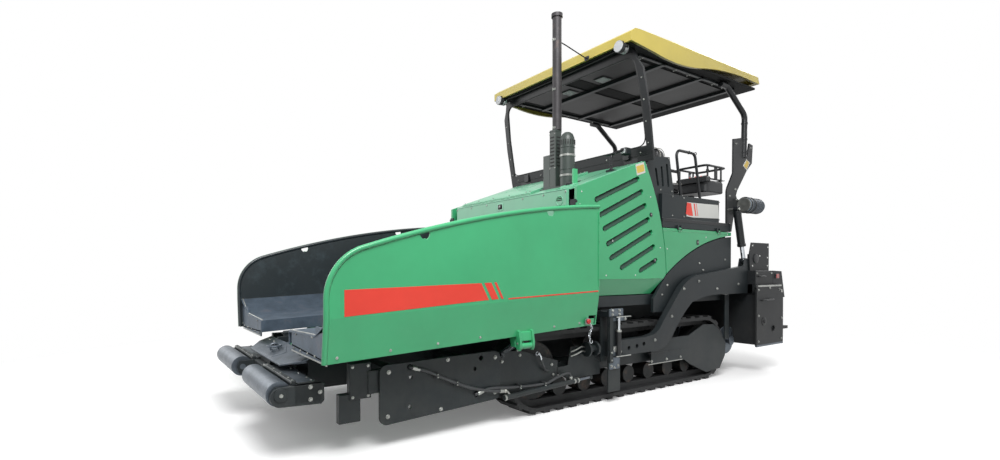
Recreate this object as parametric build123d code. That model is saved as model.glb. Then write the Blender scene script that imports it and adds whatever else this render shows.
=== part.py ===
from build123d import *
from math import atan, atan2, ceil, cos, degrees, hypot, pi, radians, sin
import os

# Asphalt paver on tracks, parked with its hopper open and its screed raised.
# Millimetres. +Z is up and Z = 0 is the ground. The machine faces -Y, and +X is its left side.
# The origin is under the middle of the machine.

# Tracks
TRACK_CENTRE_X = 1030.0
SHOE_WIDTH = 320.0
SPROCKET_Y = 1810.0
IDLER_Y = -990.0
TRACK_RADIUS = 405.0
SHOE_THICK = 38.0
GROUSER = 22.0
CHAIN_THICK = 62.0
CHAIN_WIDTH = 150.0
SHOES = 44
ROLLER_RADIUS = 95.0
ROLLERS = 7
CARRIERS = 2
CARRIER_RADIUS = 62.0

# Frame
TUNNEL_HALF = 470.0
WEB = 50.0
FRAME_FRONT_Y = -3010.0
FRAME_REAR_Y = 2230.0
DECK_LOW_Z = 380.0
DECK_Z = 640.0
TUNNEL_TOP_Z = 960.0
SILL_Z = 1105.0
REAR_SILL_Z = 1060.0
PLATE = 25.0

# Body
BODY_HALF = 1200.0
HOOD_FRONT_Y = -498.0
HOPPER_WALL_Y = -515.0
HOPPER_WALL_Z = 1900.0
HOOD_FRONT_Z = 2235.0
HOOD_REAR_Y = 590.0
HOOD_REAR_Z = 2620.0
HOOD_BEVEL = 110.0
HOOD_LOW_Z = 1300.0
SKIN = 20.0
DOOR_THICK = 35.0
DOOR_FOLD_Z = 1290.0
DOOR_FOLD_IN = 70.0
DOOR_LOW_Z = 1113.0
SEAM = 8.0
CLEAR = 8.0
LOUVRE = 58.0
DOOR_AXIS_X = 1203.0
DOOR_AXIS_Y = -508.0
DOOR_HINGES = (1360.0, 1700.0, 2050.0)
PLATFORM_Z = 2000.0
LEDGE_Z = 1890.0
PLATFORM_REAR_Y = 2380.0
STATION_BOX_Z = 2285.0
FLAP_AXIS_X = 1211.0
FLAP_THICK = 12.0
FLAP_SEAM = 14.0
FLAP_AXIS_Z = 1884.0
FLAP_HINGES = (1228.0, 2072.0)

# Hopper wings
WING_AXIS_X = 495.0
WING_AXIS_Z = 745.0
WING_IN_X = 508.0
WING_IN_Z = 775.0
HOPPER_RISE = 0.043
KNUCKLE = 22.0
HINGE_PIN = 12.0
WING_OUT_X = 1540.0
WING_LOW_X = 1478.0
WING_LOW_Z = 747.0
WING_FOLD_Z = 1060.0
WING_FRONT_Y = -3205.0
WING_REAR_Y = -530.0
WING_TOP_Z = 2015.0
WING_WALL = 12.0
RIM_RADIUS = 26.0

# Canopy
CANOPY_HALF = 1240.0
CANOPY_FRONT_Y = 290.0
CANOPY_REAR_Y = 3020.0
CANOPY_SKIN = 30.0
CANOPY_LINER_Z = 3880.0
LAMP_X = 1094.0
LAMP_Z = 3865.0
LAMP_RADIUS = 62.0

# Exhaust
STACK_X = 605.0
STACK_Y = -205.0
STACK_RADIUS = 52.0
STACK_TOP_Z = 4290.0

# Push rollers
PUSH_ROLLER_Y = -3390.0
PUSH_ROLLER_Z = 505.0
PUSH_ROLLER_RADIUS = 90.0
PUSH_ROLLER_IN = 245.0
PUSH_ROLLER_OUT = 1095.0
PUSH_PIVOT_Y = -3180.0
PUSH_BEAM_LOW_Z = 430.0
PUSH_BEAM_HIGH_Z = 560.0
PUSH_PIN = 32.0

# Screed and tow arms
TOW_Y = -60.0
TOW_Z = 562.0
TOW_PIN = 32.0
ARM_IN_X = 1216.0
ARM_OUT_X = 1290.0
SCREED_FRONT_Y = 2660.0
SCREED_REAR_Y = 3260.0
SCREED_HALF = 1420.0
SCREED_LOW_Z = 385.0
SCREED_TOP_Z = 1074.0
END_PLATE = 24.0
WALKWAY_REAR_Y = 3480.0
LIFT_X = 1253.0
LIFT_TOP = (2425.0, 2190.0)
LIFT_EYE = (2600.0, 1512.0)
LIFT_BARREL = 48.0
LIFT_ROD = 27.0
LIFT_PIN = 20.0

# Augers
AUGER_Y = 2432.0
AUGER_Z = 440.0
AUGER_RADIUS = 185.0
AUGER_IN_X = 150.0
AUGER_OUT_X = 1190.0
AUGER_PITCH = 300.0

GAP = 0.3
RUN = 0.1


def block(x0, x1, y0, y1, z0, z1):
    """A box from its corners."""
    return Pos((x0 + x1) / 2, (y0 + y1) / 2, (z0 + z1) / 2) * Box(x1 - x0, y1 - y0, z1 - z0)


def side_cut(outline, x0, x1):
    """An outline of (y, z) points carried along X from x0 to x1."""
    face = make_face(Polyline(*outline, close=True)) if isinstance(outline, list) else outline
    return extrude(Plane.YZ.offset(x0) * face, x1 - x0)


def front_cut(outline, y0, y1, rise=0.0):
    """An outline of (x, z) points carried along Y from y0 to y1, climbing by rise for each millimetre."""
    face = make_face(Polyline(*outline, close=True)) if isinstance(outline, list) else outline
    lift = rise * (y1 - y0)
    start = Plane.XZ.offset(-y0) * face
    return extrude(start, hypot(y1 - y0, lift), dir=(0, y1 - y0, lift))


def plan_cut(outline, z0, z1):
    """An outline of (x, y) points carried up from z0 to z1."""
    face = make_face(Polyline(*outline, close=True)) if isinstance(outline, list) else outline
    return extrude(Plane.XY.offset(z0) * face, z1 - z0)


def bar(start, end, radius):
    """A round bar between two points."""
    a, b = Vector(*start), Vector(*end)
    along = b - a
    return Plane(origin=a, z_dir=along) * Cylinder(radius, along.length, align=(Align.CENTER, Align.CENTER, Align.MIN))


def round_x(y, z, radius, x0, x1):
    return bar((x0, y, z), (x1, y, z), radius)


def pipe(points, radii, tube):
    """A round tube solid along straight runs joined by arcs."""
    path = FilletPolyline(*points, radius=radii)
    section = Plane(origin=path @ 0, z_dir=path % 0) * Circle(tube)
    return sweep(section, path=path)


def slot_between(y0, z0, y1, z1, width):
    """A round-ended slot outline in the side view."""
    turn = degrees(atan2(z1 - z0, y1 - y0))
    return Pos((y0 + y1) / 2, (z0 + z1) / 2) * Rot(0, 0, turn) * SlotCenterToCenter(hypot(y1 - y0, z1 - z0), width)


def mirrored(shape):
    return mirror(shape, about=Plane.YZ)


def save(name, *solids):
    """Writes one node, whose solids may lie apart."""
    shape = solids[0] if len(solids) == 1 else Compound(children=[s for s in solids])
    export_step(shape, f"parts/{name}.step")


def save_pair(name, *solids):
    """Writes the left node and its mirror image on the right."""
    save(f"{name}_left", *solids)
    save(f"{name}_right", *[mirrored(s) for s in solids])


def track_loop(radius):
    """The side outline of the track at a distance from its axle line."""
    length = SPROCKET_Y - IDLER_Y
    middle = (SPROCKET_Y + IDLER_Y) / 2
    return Pos(middle, TRACK_RADIUS) * SlotCenterToCenter(length, 2 * radius)


def track():
    """One closed loop: the chain inside, the shoes outside, and a grouser on each shoe."""
    low = TRACK_CENTRE_X - SHOE_WIDTH / 2
    high = TRACK_CENTRE_X + SHOE_WIDTH / 2
    face = track_loop(TRACK_RADIUS - GROUSER) - track_loop(TRACK_RADIUS - GROUSER - SHOE_THICK)
    straight = SPROCKET_Y - IDLER_Y
    middle_radius = TRACK_RADIUS - GROUSER / 2 - 1
    length = 2 * straight + 2 * pi * middle_radius
    pitch = length / SHOES
    for count in range(SHOES):
        run = (count + 0.5) * pitch
        if run < straight:
            place = (IDLER_Y + run, TRACK_RADIUS - middle_radius, 0)
        elif run < straight + pi * middle_radius:
            turn = (run - straight) / middle_radius
            place = (SPROCKET_Y + middle_radius * sin(turn), TRACK_RADIUS - middle_radius * cos(turn), degrees(turn))
        elif run < 2 * straight + pi * middle_radius:
            place = (SPROCKET_Y - (run - straight - pi * middle_radius), TRACK_RADIUS + middle_radius, 180)
        else:
            turn = (run - 2 * straight - pi * middle_radius) / middle_radius
            place = (IDLER_Y - middle_radius * sin(turn), TRACK_RADIUS + middle_radius * cos(turn), 180 + degrees(turn))
        face += Pos(place[0], place[1]) * Rot(0, 0, place[2]) * Rectangle(pitch * 0.45, GROUSER + 2)
    belt = side_cut(face, low, high)
    chain_radius = TRACK_RADIUS - GROUSER - SHOE_THICK
    chain = track_loop(chain_radius + 1) - track_loop(chain_radius - CHAIN_THICK)
    return belt + side_cut(chain, TRACK_CENTRE_X - CHAIN_WIDTH / 2, TRACK_CENTRE_X + CHAIN_WIDTH / 2)


CHAIN_INSIDE = TRACK_RADIUS - GROUSER - SHOE_THICK - CHAIN_THICK


def track_wheels():
    """Bottom rollers, carrier rollers and the idler, each on its own axle."""
    wheels = []
    low = TRACK_RADIUS - CHAIN_INSIDE + ROLLER_RADIUS + GAP
    first, last = IDLER_Y + 330, SPROCKET_Y - 330
    for count in range(ROLLERS):
        y = first + (last - first) * count / (ROLLERS - 1)
        wheels.append(round_x(y, low, ROLLER_RADIUS, TRACK_CENTRE_X - 85, TRACK_CENTRE_X + 85))
    high = TRACK_RADIUS + CHAIN_INSIDE - CARRIER_RADIUS - GAP
    for count in range(CARRIERS):
        y = -250 + 1100 * count
        wheels.append(round_x(y, high, CARRIER_RADIUS, TRACK_CENTRE_X - 80, TRACK_CENTRE_X + 80))
    wheels.append(round_x(IDLER_Y, TRACK_RADIUS, CHAIN_INSIDE - GAP, TRACK_CENTRE_X - 62 + GAP, TRACK_CENTRE_X + 62 - GAP))
    return wheels


def sprocket():
    return round_x(SPROCKET_Y, TRACK_RADIUS, CHAIN_INSIDE - GAP, TRACK_CENTRE_X - 62 + GAP, TRACK_CENTRE_X + 62 - GAP)


def track_frame():
    """The beam between the axles, with the drive guard outside and the cross tubes to the main frame."""
    beam = block(TRACK_CENTRE_X - 100, TRACK_CENTRE_X + 100, IDLER_Y + 330, SPROCKET_Y - 330, 330, 470)
    beam += block(TRACK_CENTRE_X - 100, TRACK_CENTRE_X - 62, IDLER_Y - 60, SPROCKET_Y + 60, 350, 460)
    beam += block(TRACK_CENTRE_X + 62, TRACK_CENTRE_X + 100, IDLER_Y - 60, SPROCKET_Y + 60, 350, 460)
    for y in (-700, 1150):
        beam += block(WEB + TUNNEL_HALF, TRACK_CENTRE_X - 90, y, y + 220, 380, 470)
    for y in (800, 1560, 1840):
        beam += block(TRACK_CENTRE_X + 90, TRACK_CENTRE_X + SHOE_WIDTH / 2 + 10, y, y + 60, 350, 460)
    return beam + drive_guard()


def drive_guard():
    """The faceted housing over the drive sprocket, and its beam along the track."""
    outline = [(1330, 300), (1440, 235), (1800, 92), (2110, 110), (2235, 270), (2250, 430), (2120, 590), (1960, 690),
               (1740, 700), (1420, 585), (690, 585), (690, 300)]
    outer = TRACK_CENTRE_X + SHOE_WIDTH / 2
    guard = side_cut(outline, outer + 6, outer + 18)
    return guard


def climb(y):
    """How much the hopper's floor has risen at y."""
    return HOPPER_RISE * (y - WING_FRONT_Y)


def knuckles(own):
    """The hinge knuckles of one wing: the frame's own ones, or the wing's between them."""
    count = 9
    step = (WING_REAR_Y - WING_FRONT_Y - 500) / count
    solids = []
    for place in range(count):
        if (place % 2 == 0) != own:
            continue
        y0 = WING_FRONT_Y + 250 + place * step + 4
        y1 = y0 + step - 8
        z0 = WING_AXIS_Z + climb(y0)
        z1 = WING_AXIS_Z + climb(y1)
        solids.append((y0, y1, bar((WING_AXIS_X, y0, z0), (WING_AXIS_X, y1, z1), KNUCKLE), z0, z1))
    return solids


def hinge_pin(radius):
    y0 = WING_FRONT_Y + 240
    y1 = WING_REAR_Y - 240
    return bar((WING_AXIS_X, y0, WING_AXIS_Z + climb(y0)), (WING_AXIS_X, y1, WING_AXIS_Z + climb(y1)), radius)


def frame_hinges():
    """The frame's half of the left wing hinge, with its pin."""
    solid = hinge_pin(HINGE_PIN)
    for y0, y1, knuckle, z0, z1 in knuckles(True):
        solid += knuckle
        solid += side_cut([(y0, z0 - 60), (y0, z0), (y1, z1), (y1, z1 - 60)], WING_AXIS_X - KNUCKLE + 4, WING_AXIS_X)
    return solid


def main_frame():
    """Side webs, conveyor decks and the sills that the body stands on."""
    wall = TUNNEL_HALF + WEB
    frame = block(-wall, wall, FRAME_FRONT_Y, FRAME_REAR_Y, DECK_Z - 30, DECK_Z)
    frame += block(-wall, wall, FRAME_FRONT_Y + 60, FRAME_REAR_Y, DECK_LOW_Z, DECK_LOW_Z + 20)
    frame += block(-wall, wall, FRAME_FRONT_Y, FRAME_FRONT_Y + 20, DECK_LOW_Z, DECK_Z)
    web_top = WING_AXIS_Z - KNUCKLE - 12
    inner = HOPPER_WALL_Y
    web = side_cut([(FRAME_FRONT_Y, DECK_LOW_Z), (FRAME_FRONT_Y, web_top + climb(FRAME_FRONT_Y)), (inner, web_top + climb(inner)),
                    (inner, TUNNEL_TOP_Z), (FRAME_REAR_Y, TUNNEL_TOP_Z), (FRAME_REAR_Y, DECK_LOW_Z)], TUNNEL_HALF, wall)
    web += frame_hinges()
    frame += web + mirrored(web)
    frame += block(-wall, wall, inner, FRAME_REAR_Y, TUNNEL_TOP_Z, TUNNEL_TOP_Z + 30)
    sill = BODY_HALF - 60
    frame += block(-sill, sill, inner + 15, 900, TUNNEL_TOP_Z + 30, SILL_Z)
    frame += block(-sill, sill, 900, FRAME_REAR_Y, TUNNEL_TOP_Z + 30, REAR_SILL_Z)
    frame += block(-1206, 1206, FRAME_REAR_Y, FRAME_REAR_Y + 100, TUNNEL_TOP_Z + 30, REAR_SILL_Z)
    frame += block(-1190, 1190, inner, inner + 15, TUNNEL_TOP_Z + 30, HOPPER_WALL_Z)
    for side in (-1, 1):
        x0, x1 = sorted((side * 1120, side * 1190))
        frame += block(x0, x1, inner, inner + 15, HOPPER_WALL_Z - 5, 2110)
    frame += door_hinge(False) + mirrored(door_hinge(False))
    for side in (-1, 1):
        for y in (-2560, -1800):
            x0, x1 = sorted((side * wall, side * 1216))
            frame += block(x0, x1, y, y + 120, 430, 600)
        x0, x1 = sorted((side * 1190, side * 1206))
        frame += block(x0, x1, FRAME_REAR_Y + 6, FRAME_REAR_Y + 100, 476, TUNNEL_TOP_Z + 40)
    frame += block(-135, 135, FRAME_REAR_Y, AUGER_Y + 60, 330, 640)
    frame -= round_x(AUGER_Y, AUGER_Z, 30 + RUN, -140, 140)
    return frame


def conveyor():
    """Two slat conveyors side by side on the deck."""
    solids = []
    for x0, x1 in ((-440, -30), (30, 440)):
        belt = block(x0, x0 + 50, FRAME_FRONT_Y + 60, FRAME_REAR_Y - 20, DECK_Z, DECK_Z + 30)
        belt += block(x1 - 50, x1, FRAME_FRONT_Y + 60, FRAME_REAR_Y - 20, DECK_Z, DECK_Z + 30)
        slats = 26
        step = (FRAME_REAR_Y - FRAME_FRONT_Y - 160) / (slats - 1)
        for count in range(slats):
            y = FRAME_FRONT_Y + 70 + count * step
            belt += block(x0 + 50, x1 - 50, y, y + 22, DECK_Z, DECK_Z + 26)
        solids.append(belt)
    return solids


def front_apron():
    """The sloped plate between the conveyor and the push beam, with the towing ring."""
    back = FRAME_FRONT_Y - GAP
    plate = side_cut([(back, 601), (back, 700), (back - 25, 700), (-3180, 622), (-3180, 601)], -330, 330)
    ring = Pos(0, -3120, 700) * Rot(0, 90, 0) * Torus(34, 10)
    return plate + ring


def side_plate():
    """The big guard plate beside the hopper's frame, with round corners and holes."""
    face = make_face(Polyline((-2676, 182), (-1512, 240), (-1512, 672), (-2676, 653), close=True))
    face = fillet(face.vertices(), 60)
    for y, z, radius in ((-2415, 617, 26), (-1720, 621, 22), (-2407, 536, 17), (-2417, 297, 17), (-1785, 532, 17), (-1775, 304, 17)):
        face -= Pos(y, z) * Circle(radius)
    return side_cut(face, 1216, 1241)


def hood_solid(inset, low):
    """The engine cover's outer form, or its inside when inset."""
    slope = (HOOD_REAR_Z - HOOD_FRONT_Z) / (HOOD_REAR_Y - HOOD_FRONT_Y)
    half = BODY_HALF - DOOR_THICK - SEAM
    top_front = HOOD_FRONT_Z - inset + slope * inset
    top_rear = HOOD_REAR_Z - inset - slope * inset
    profile = [(HOOD_FRONT_Y + inset, low), (HOOD_FRONT_Y + inset, top_front), (HOOD_REAR_Y - inset, top_rear),
               (HOOD_REAR_Y - inset, low)]
    solid = side_cut(profile, -half + inset, half - inset)
    plan = [(-half, HOOD_REAR_Y), (-half, HOOD_FRONT_Y + HOOD_BEVEL), (-half + HOOD_BEVEL, HOOD_FRONT_Y),
            (half - HOOD_BEVEL, HOOD_FRONT_Y), (half, HOOD_FRONT_Y + HOOD_BEVEL), (half, HOOD_REAR_Y)]
    return solid & plan_cut(plan, low, HOOD_REAR_Z + 10)


def hood():
    """The sloping engine cover: front wall with cut corners, top, rear wall, and open sides behind the doors."""
    shell = hood_solid(0, HOOD_LOW_Z) - hood_solid(SKIN, HOOD_LOW_Z - 5)
    opening = side_cut([(-330, HOOD_LOW_Z + 60), (-330, 2200), (470, 2480), (470, HOOD_LOW_Z + 60)], -BODY_HALF, BODY_HALF)
    shell -= opening
    for y in (HOOD_FRONT_Y, HOOD_REAR_Y - SKIN):
        shell += block(-1080, 1080, y, y + SKIN, SILL_Z + GAP, HOOD_LOW_Z)
    return shell


def door_face():
    """The side panel's outline above its fold: straight top, curved rear edge."""
    front = HOOD_FRONT_Y
    with BuildLine() as line:
        Polyline((front, DOOR_FOLD_Z), (front, HOOD_FRONT_Z), (580, 2617))
        ThreePointArc((580, 2617), (880, 1940), (974, 1336))
        Polyline((974, 1336), (930, DOOR_FOLD_Z), (front, DOOR_FOLD_Z))
    return make_face(line.line)


def door_hinge(door_side):
    """Half of the three hinges at a side panel's front edge: the panel's knuckles, or the wall's with the pins."""
    solid = None
    for z in DOOR_HINGES:
        if door_side:
            half = bar((DOOR_AXIS_X, DOOR_AXIS_Y, z - 20), (DOOR_AXIS_X, DOOR_AXIS_Y, z + 20), 9)
            half += block(BODY_HALF - 6, DOOR_AXIS_X, DOOR_AXIS_Y, DOOR_AXIS_Y + 40, z - 20, z + 20)
            half -= bar((DOOR_AXIS_X, DOOR_AXIS_Y, z - 30), (DOOR_AXIS_X, DOOR_AXIS_Y, z + 30), 5 + RUN)
        else:
            half = bar((DOOR_AXIS_X, DOOR_AXIS_Y, z - 45), (DOOR_AXIS_X, DOOR_AXIS_Y, z + 45), 5)
            for low in (z - 45, z + 23):
                half += bar((DOOR_AXIS_X, DOOR_AXIS_Y, low), (DOOR_AXIS_X, DOOR_AXIS_Y, low + 22), 9)
                half += block(BODY_HALF - 16, DOOR_AXIS_X, HOPPER_WALL_Y + 2, DOOR_AXIS_Y, low, low + 22)
        solid = half if solid is None else solid + half
    return solid


def side_door():
    """The louvred side panel: curved rear edge, a lower fold that leans in, and seven slanting slots."""
    front = HOOD_FRONT_Y
    face = door_face()
    # front centre y, z, rear centre y, z of each slot
    slots = ((-215, 2126, 455, 2406), (-147, 1972, 520, 2268), (-90, 1828, 582, 2118), (-35, 1669, 640, 1964),
             (15, 1518, 690, 1819), (185, 1416, 738, 1657), (508, 1385, 782, 1498))
    for y0, z0, y1, z1 in slots:
        face -= slot_between(y0, z0, y1, z1, LOUVRE)
    panel = side_cut(face, BODY_HALF - DOOR_THICK, BODY_HALF)
    fold = front_cut([(BODY_HALF - DOOR_THICK, DOOR_FOLD_Z), (BODY_HALF, DOOR_FOLD_Z),
                      (BODY_HALF - DOOR_FOLD_IN, DOOR_LOW_Z), (BODY_HALF - DOOR_FOLD_IN - DOOR_THICK, DOOR_LOW_Z)], front, 930)
    trim = side_cut([(front, DOOR_LOW_Z), (774, DOOR_LOW_Z), (930, DOOR_FOLD_Z), (front, DOOR_FOLD_Z)], 1000, 1300)
    return panel + (fold & trim) + door_hinge(True)


def beside_door(seam=SEAM):
    """The door's outline with its seam, which the panels behind it keep clear of."""
    low = make_face(Polyline((0, DOOR_LOW_Z), (774, DOOR_LOW_Z), (930, DOOR_FOLD_Z), (974, 1336), (0, 1336), close=True))
    return offset(door_face() + low, seam, kind=Kind.INTERSECTION)


def wedge_face():
    with BuildLine() as line:
        Polyline((974, 1336), (850, LEDGE_Z - SEAM), (2383, LEDGE_Z - SEAM), (2383, 1838))
        ThreePointArc((2383, 1838), (1500, 1625), (974, 1336))
    return make_face(line.line) - beside_door(FLAP_SEAM)


def flap_hinge(flap_side):
    """Half of the two hinges of a rear flap: the flap's knuckles, or the platform's with the pins."""
    solid = None
    for y in FLAP_HINGES:
        if flap_side:
            half = bar((FLAP_AXIS_X, y - 20, FLAP_AXIS_Z), (FLAP_AXIS_X, y + 20, FLAP_AXIS_Z), 10)
            half += block(BODY_HALF - 4, FLAP_AXIS_X - 3, y - 20, y + 20, FLAP_AXIS_Z - 36, FLAP_AXIS_Z)
            half -= bar((FLAP_AXIS_X, y - 30, FLAP_AXIS_Z), (FLAP_AXIS_X, y + 30, FLAP_AXIS_Z), 5 + RUN)
        else:
            half = bar((FLAP_AXIS_X, y - 45, FLAP_AXIS_Z), (FLAP_AXIS_X, y + 45, FLAP_AXIS_Z), 5)
            for end in (y - 45, y + 23):
                half += bar((FLAP_AXIS_X, end, FLAP_AXIS_Z), (FLAP_AXIS_X, end + 22, FLAP_AXIS_Z), 10)
                half += block(1190, FLAP_AXIS_X + 5, end, end + 22, FLAP_AXIS_Z + 6, FLAP_AXIS_Z + 40)
        solid = half if solid is None else solid + half
    return solid


def rear_flap():
    """The green wedge over the fender, hung from two hinges at its top edge."""
    return side_cut(wedge_face(), BODY_HALF - FLAP_THICK, BODY_HALF) + flap_hinge(True)


def fender():
    """The dark curved guard over the rear of the track."""
    with BuildLine() as line:
        ThreePointArc((2383, 1838 - FLAP_SEAM), (1500, 1625 - FLAP_SEAM), (974, 1336 - FLAP_SEAM))
        Polyline((974, 1336 - FLAP_SEAM), (785, 1100), (740, 1060), (740, 900), (1050, 900), (1300, 1240), (2383, 1330),
                 (2383, 1838 - FLAP_SEAM))
    guard = side_cut(make_face(line.line) - beside_door(), BODY_HALF - DOOR_THICK, BODY_HALF)
    for y, z in ((1120, 1370), (1700, 1500), (2220, 1600)):
        guard += block(1150 + GAP, BODY_HALF - DOOR_THICK + 4, y, y + 60, z, z + 60)
    return guard


def rear_body():
    """The closed body under the operator's platform, with its tanks inside."""
    return block(-1150, 1150, 940, 2330, REAR_SILL_Z, LEDGE_Z)


def platform():
    """The deck, its edge ledge, the low side boxes and the seats' stands."""
    start = 905 + SEAM
    deck = block(-1150, 1150, HOOD_REAR_Y + SEAM, PLATFORM_REAR_Y, LEDGE_Z, PLATFORM_Z)
    deck += block(-1195, 1195, start, PLATFORM_REAR_Y, LEDGE_Z, PLATFORM_Z)
    for side in (-1, 1):
        x0, x1 = sorted((side * 960, side * 1190))
        deck += block(x0, x1, start, 2110, PLATFORM_Z, STATION_BOX_Z)
        x0, x1 = sorted((side * 560, side * 880))
        deck += block(x0, x1, 1380, 1720, PLATFORM_Z, 2390)
    deck += flap_hinge(False) + mirrored(flap_hinge(False))
    return deck


def station_side():
    """The dark side shield in front of the seat, with three upright slots."""
    face = make_face(Polyline((625, PLATFORM_Z), (625, 2640), (670, 2690), (1040, 2670), (1095, 2300), (900, 2290), (900, PLATFORM_Z), close=True))
    for y in (760, 870, 980):
        face -= Pos(y, 2480) * SlotOverall(280, 46, rotation=90)
    return side_cut(face, 1130, 1155)


def seat(x):
    """Cushion and back of one seat."""
    base = block(x - 230, x + 230, 1330, 1800, 2390 + GAP, 2500)
    back = block(x - 230, x + 230, 1250, 1330, 2420, 2950)
    return base + back


def console():
    """The operator's desk across the platform, and its basket of rails."""
    desk = block(-500, 500, 2080, 2300, 2400, 2620)
    desk += block(-400, -340, 2150, 2250, PLATFORM_Z, 2400)
    desk += block(340, 400, 2150, 2250, PLATFORM_Z, 2400)
    return desk


def handrails():
    """Bent tube rails at both sides of the station."""
    rails = []
    low = STATION_BOX_Z + GAP
    for side in (-1, 1):
        x = side * 1110
        rails.append(pipe([(x, 1180, low), (x, 1180, 2890), (x, 1900, 2830), (x, 1900, low)], [70, 70], 17))
    return rails


def front_frame():
    """The plate frame that carries the canopy in front: two posts and a low band, with round window corners."""
    top = CANOPY_LINER_Z - GAP
    outer = make_face(Polyline((-1195, 2630), (1195, 2630), (1195, 2760), (1150, 3480), (1120, top), (-1120, top), (-1150, 3480),
                               (-1195, 2760), close=True))
    window = fillet(Rectangle(2100, 1040).vertices(), 130)
    outer -= Pos(0, 3290) * window
    for x in (-1050, 850):
        outer += Pos(x + 100, 2320) * Rectangle(200, 640 - GAP)
    return front_cut(outer, HOOD_REAR_Y + GAP, HOOD_REAR_Y + 28)


def rear_hoops():
    """The bent tubes that carry the canopy behind, on their plate brackets, with the pins of the lift cylinders."""
    solids = []
    back = PLATFORM_REAR_Y + GAP
    for side in (-1, 1):
        x = side * 1130
        tube = pipe([(x, 2860, 2900), (x, 2860, 3650), (x, 2600, CANOPY_LINER_Z - 38 - GAP), (x, 2300, CANOPY_LINER_Z - 38 - GAP)], [140, 140], 38)
        plate = side_cut([(back, 1900), (2480, 1900), (2600, 2400), (2905, 2760), (2905, 3060), (2815, 3060), (2790, 2830), (2440, 2480),
                          (back, 2300)], x - 12, x + 12)
        x0, x1 = sorted((side * 1142, side * (LIFT_X + 40)))
        pin = round_x(LIFT_TOP[0], LIFT_TOP[1], LIFT_PIN, x0, x1)
        solids.append(tube + plate + pin)
    return solids


def canopy_section(y, top, low, half):
    """The roof's section across the machine: crowned top, open below."""
    with BuildLine() as line:
        ThreePointArc((-half + 60, top - 20), (0, top + 25), (half - 60, top - 20))
        Polyline((half - 60, top - 20), (half, top - 70), (half, low), (-half, low), (-half, top - 70), (-half + 60, top - 20))
    return Plane.XZ.offset(-y) * make_face(line.line)


def canopy():
    """The moulded roof: a crowned skin with deep wavy sides."""
    with BuildLine() as line:
        Polyline((CANOPY_FRONT_Y, 3893), (CANOPY_FRONT_Y, 3990), (360, 4040))
        ThreePointArc((360, 4040), (1650, 4120), (CANOPY_REAR_Y - 45, 4080))
        Polyline((CANOPY_REAR_Y - 45, 4080), (CANOPY_REAR_Y, 3960), (2666, 3970))
        ThreePointArc((2666, 3970), (2150, 3950), (1700, 3890))
        ThreePointArc((1700, 3890), (1200, 3825), (700, 3855))
        Polyline((700, 3855), (CANOPY_FRONT_Y, 3893))
    side = make_face(line.line)
    solid = side_cut(side, -CANOPY_HALF, CANOPY_HALF)
    crown = canopy_section(0, 4118, 3700, CANOPY_HALF)
    solid = solid & extrude(crown, -3400)
    inner = side_cut([(CANOPY_FRONT_Y + CANOPY_SKIN, 3700), (CANOPY_FRONT_Y + CANOPY_SKIN, 3960), (400, 4000), (1650, 4060), (2940, 4010),
                      (CANOPY_REAR_Y - CANOPY_SKIN, 3700)], -CANOPY_HALF + CANOPY_SKIN, CANOPY_HALF - CANOPY_SKIN)
    return solid - inner - lamp_space()


def lamp_space():
    """The round pockets of the two lamps."""
    space = None
    for side in (-1, 1):
        pocket = bar((side * LAMP_X, CANOPY_FRONT_Y - 60, LAMP_Z), (side * LAMP_X, CANOPY_FRONT_Y + 70, LAMP_Z), LAMP_RADIUS + 3)
        space = pocket if space is None else space + pocket
    return space


def canopy_liner():
    """The dark board that closes the roof from below, with straps up to the skin."""
    board = block(-CANOPY_HALF + CANOPY_SKIN + GAP, CANOPY_HALF - CANOPY_SKIN - GAP, CANOPY_FRONT_Y + CANOPY_SKIN + GAP, 2960,
                  CANOPY_LINER_Z, CANOPY_LINER_Z + 25)
    return board - lamp_space()


def canopy_lamps():
    lamps = []
    for side in (-1, 1):
        lamps.append(bar((side * LAMP_X, CANOPY_FRONT_Y - 40, LAMP_Z), (side * LAMP_X, CANOPY_FRONT_Y + 70, LAMP_Z), LAMP_RADIUS))
    return lamps


def exhaust_casing():
    """The dark housing round the silencer: a square shaft, a side box and the domed cylinder."""
    casing = block(530, 662, -300, -150, 2250, 2975)
    casing += block(500, 530, -300, -150, 2250, 2700)
    cylinder = Pos(740, -225, 2250) * Cylinder(80, 670, align=(Align.CENTER, Align.CENTER, Align.MIN))
    cylinder = fillet(cylinder.faces().sort_by(Axis.Z)[-1].edges(), 60)
    return casing + cylinder - hood_solid(0, HOOD_LOW_Z)


def exhaust_pipe():
    tube = bar((STACK_X, STACK_Y, 2975 + GAP), (STACK_X, STACK_Y, STACK_TOP_Z - 40), STACK_RADIUS)
    cap = bar((STACK_X, STACK_Y, STACK_TOP_Z - 40), (STACK_X, STACK_Y, STACK_TOP_Z), STACK_RADIUS + 12)
    return tube + cap


def engine_block():
    return block(-420, 420, -350, 480, SILL_Z, 2050)


def in_wing_plane(shape):
    """Tips a shape built upright at the wing cylinder into the plane that the wing swings in."""
    base = Pos(0, WING_CYL_Y, WING_CYL_LOW[1])
    return base * Rot(degrees(atan(HOPPER_RISE)), 0, 0) * Pos(0, -WING_CYL_Y, -WING_CYL_LOW[1]) * shape


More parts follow.
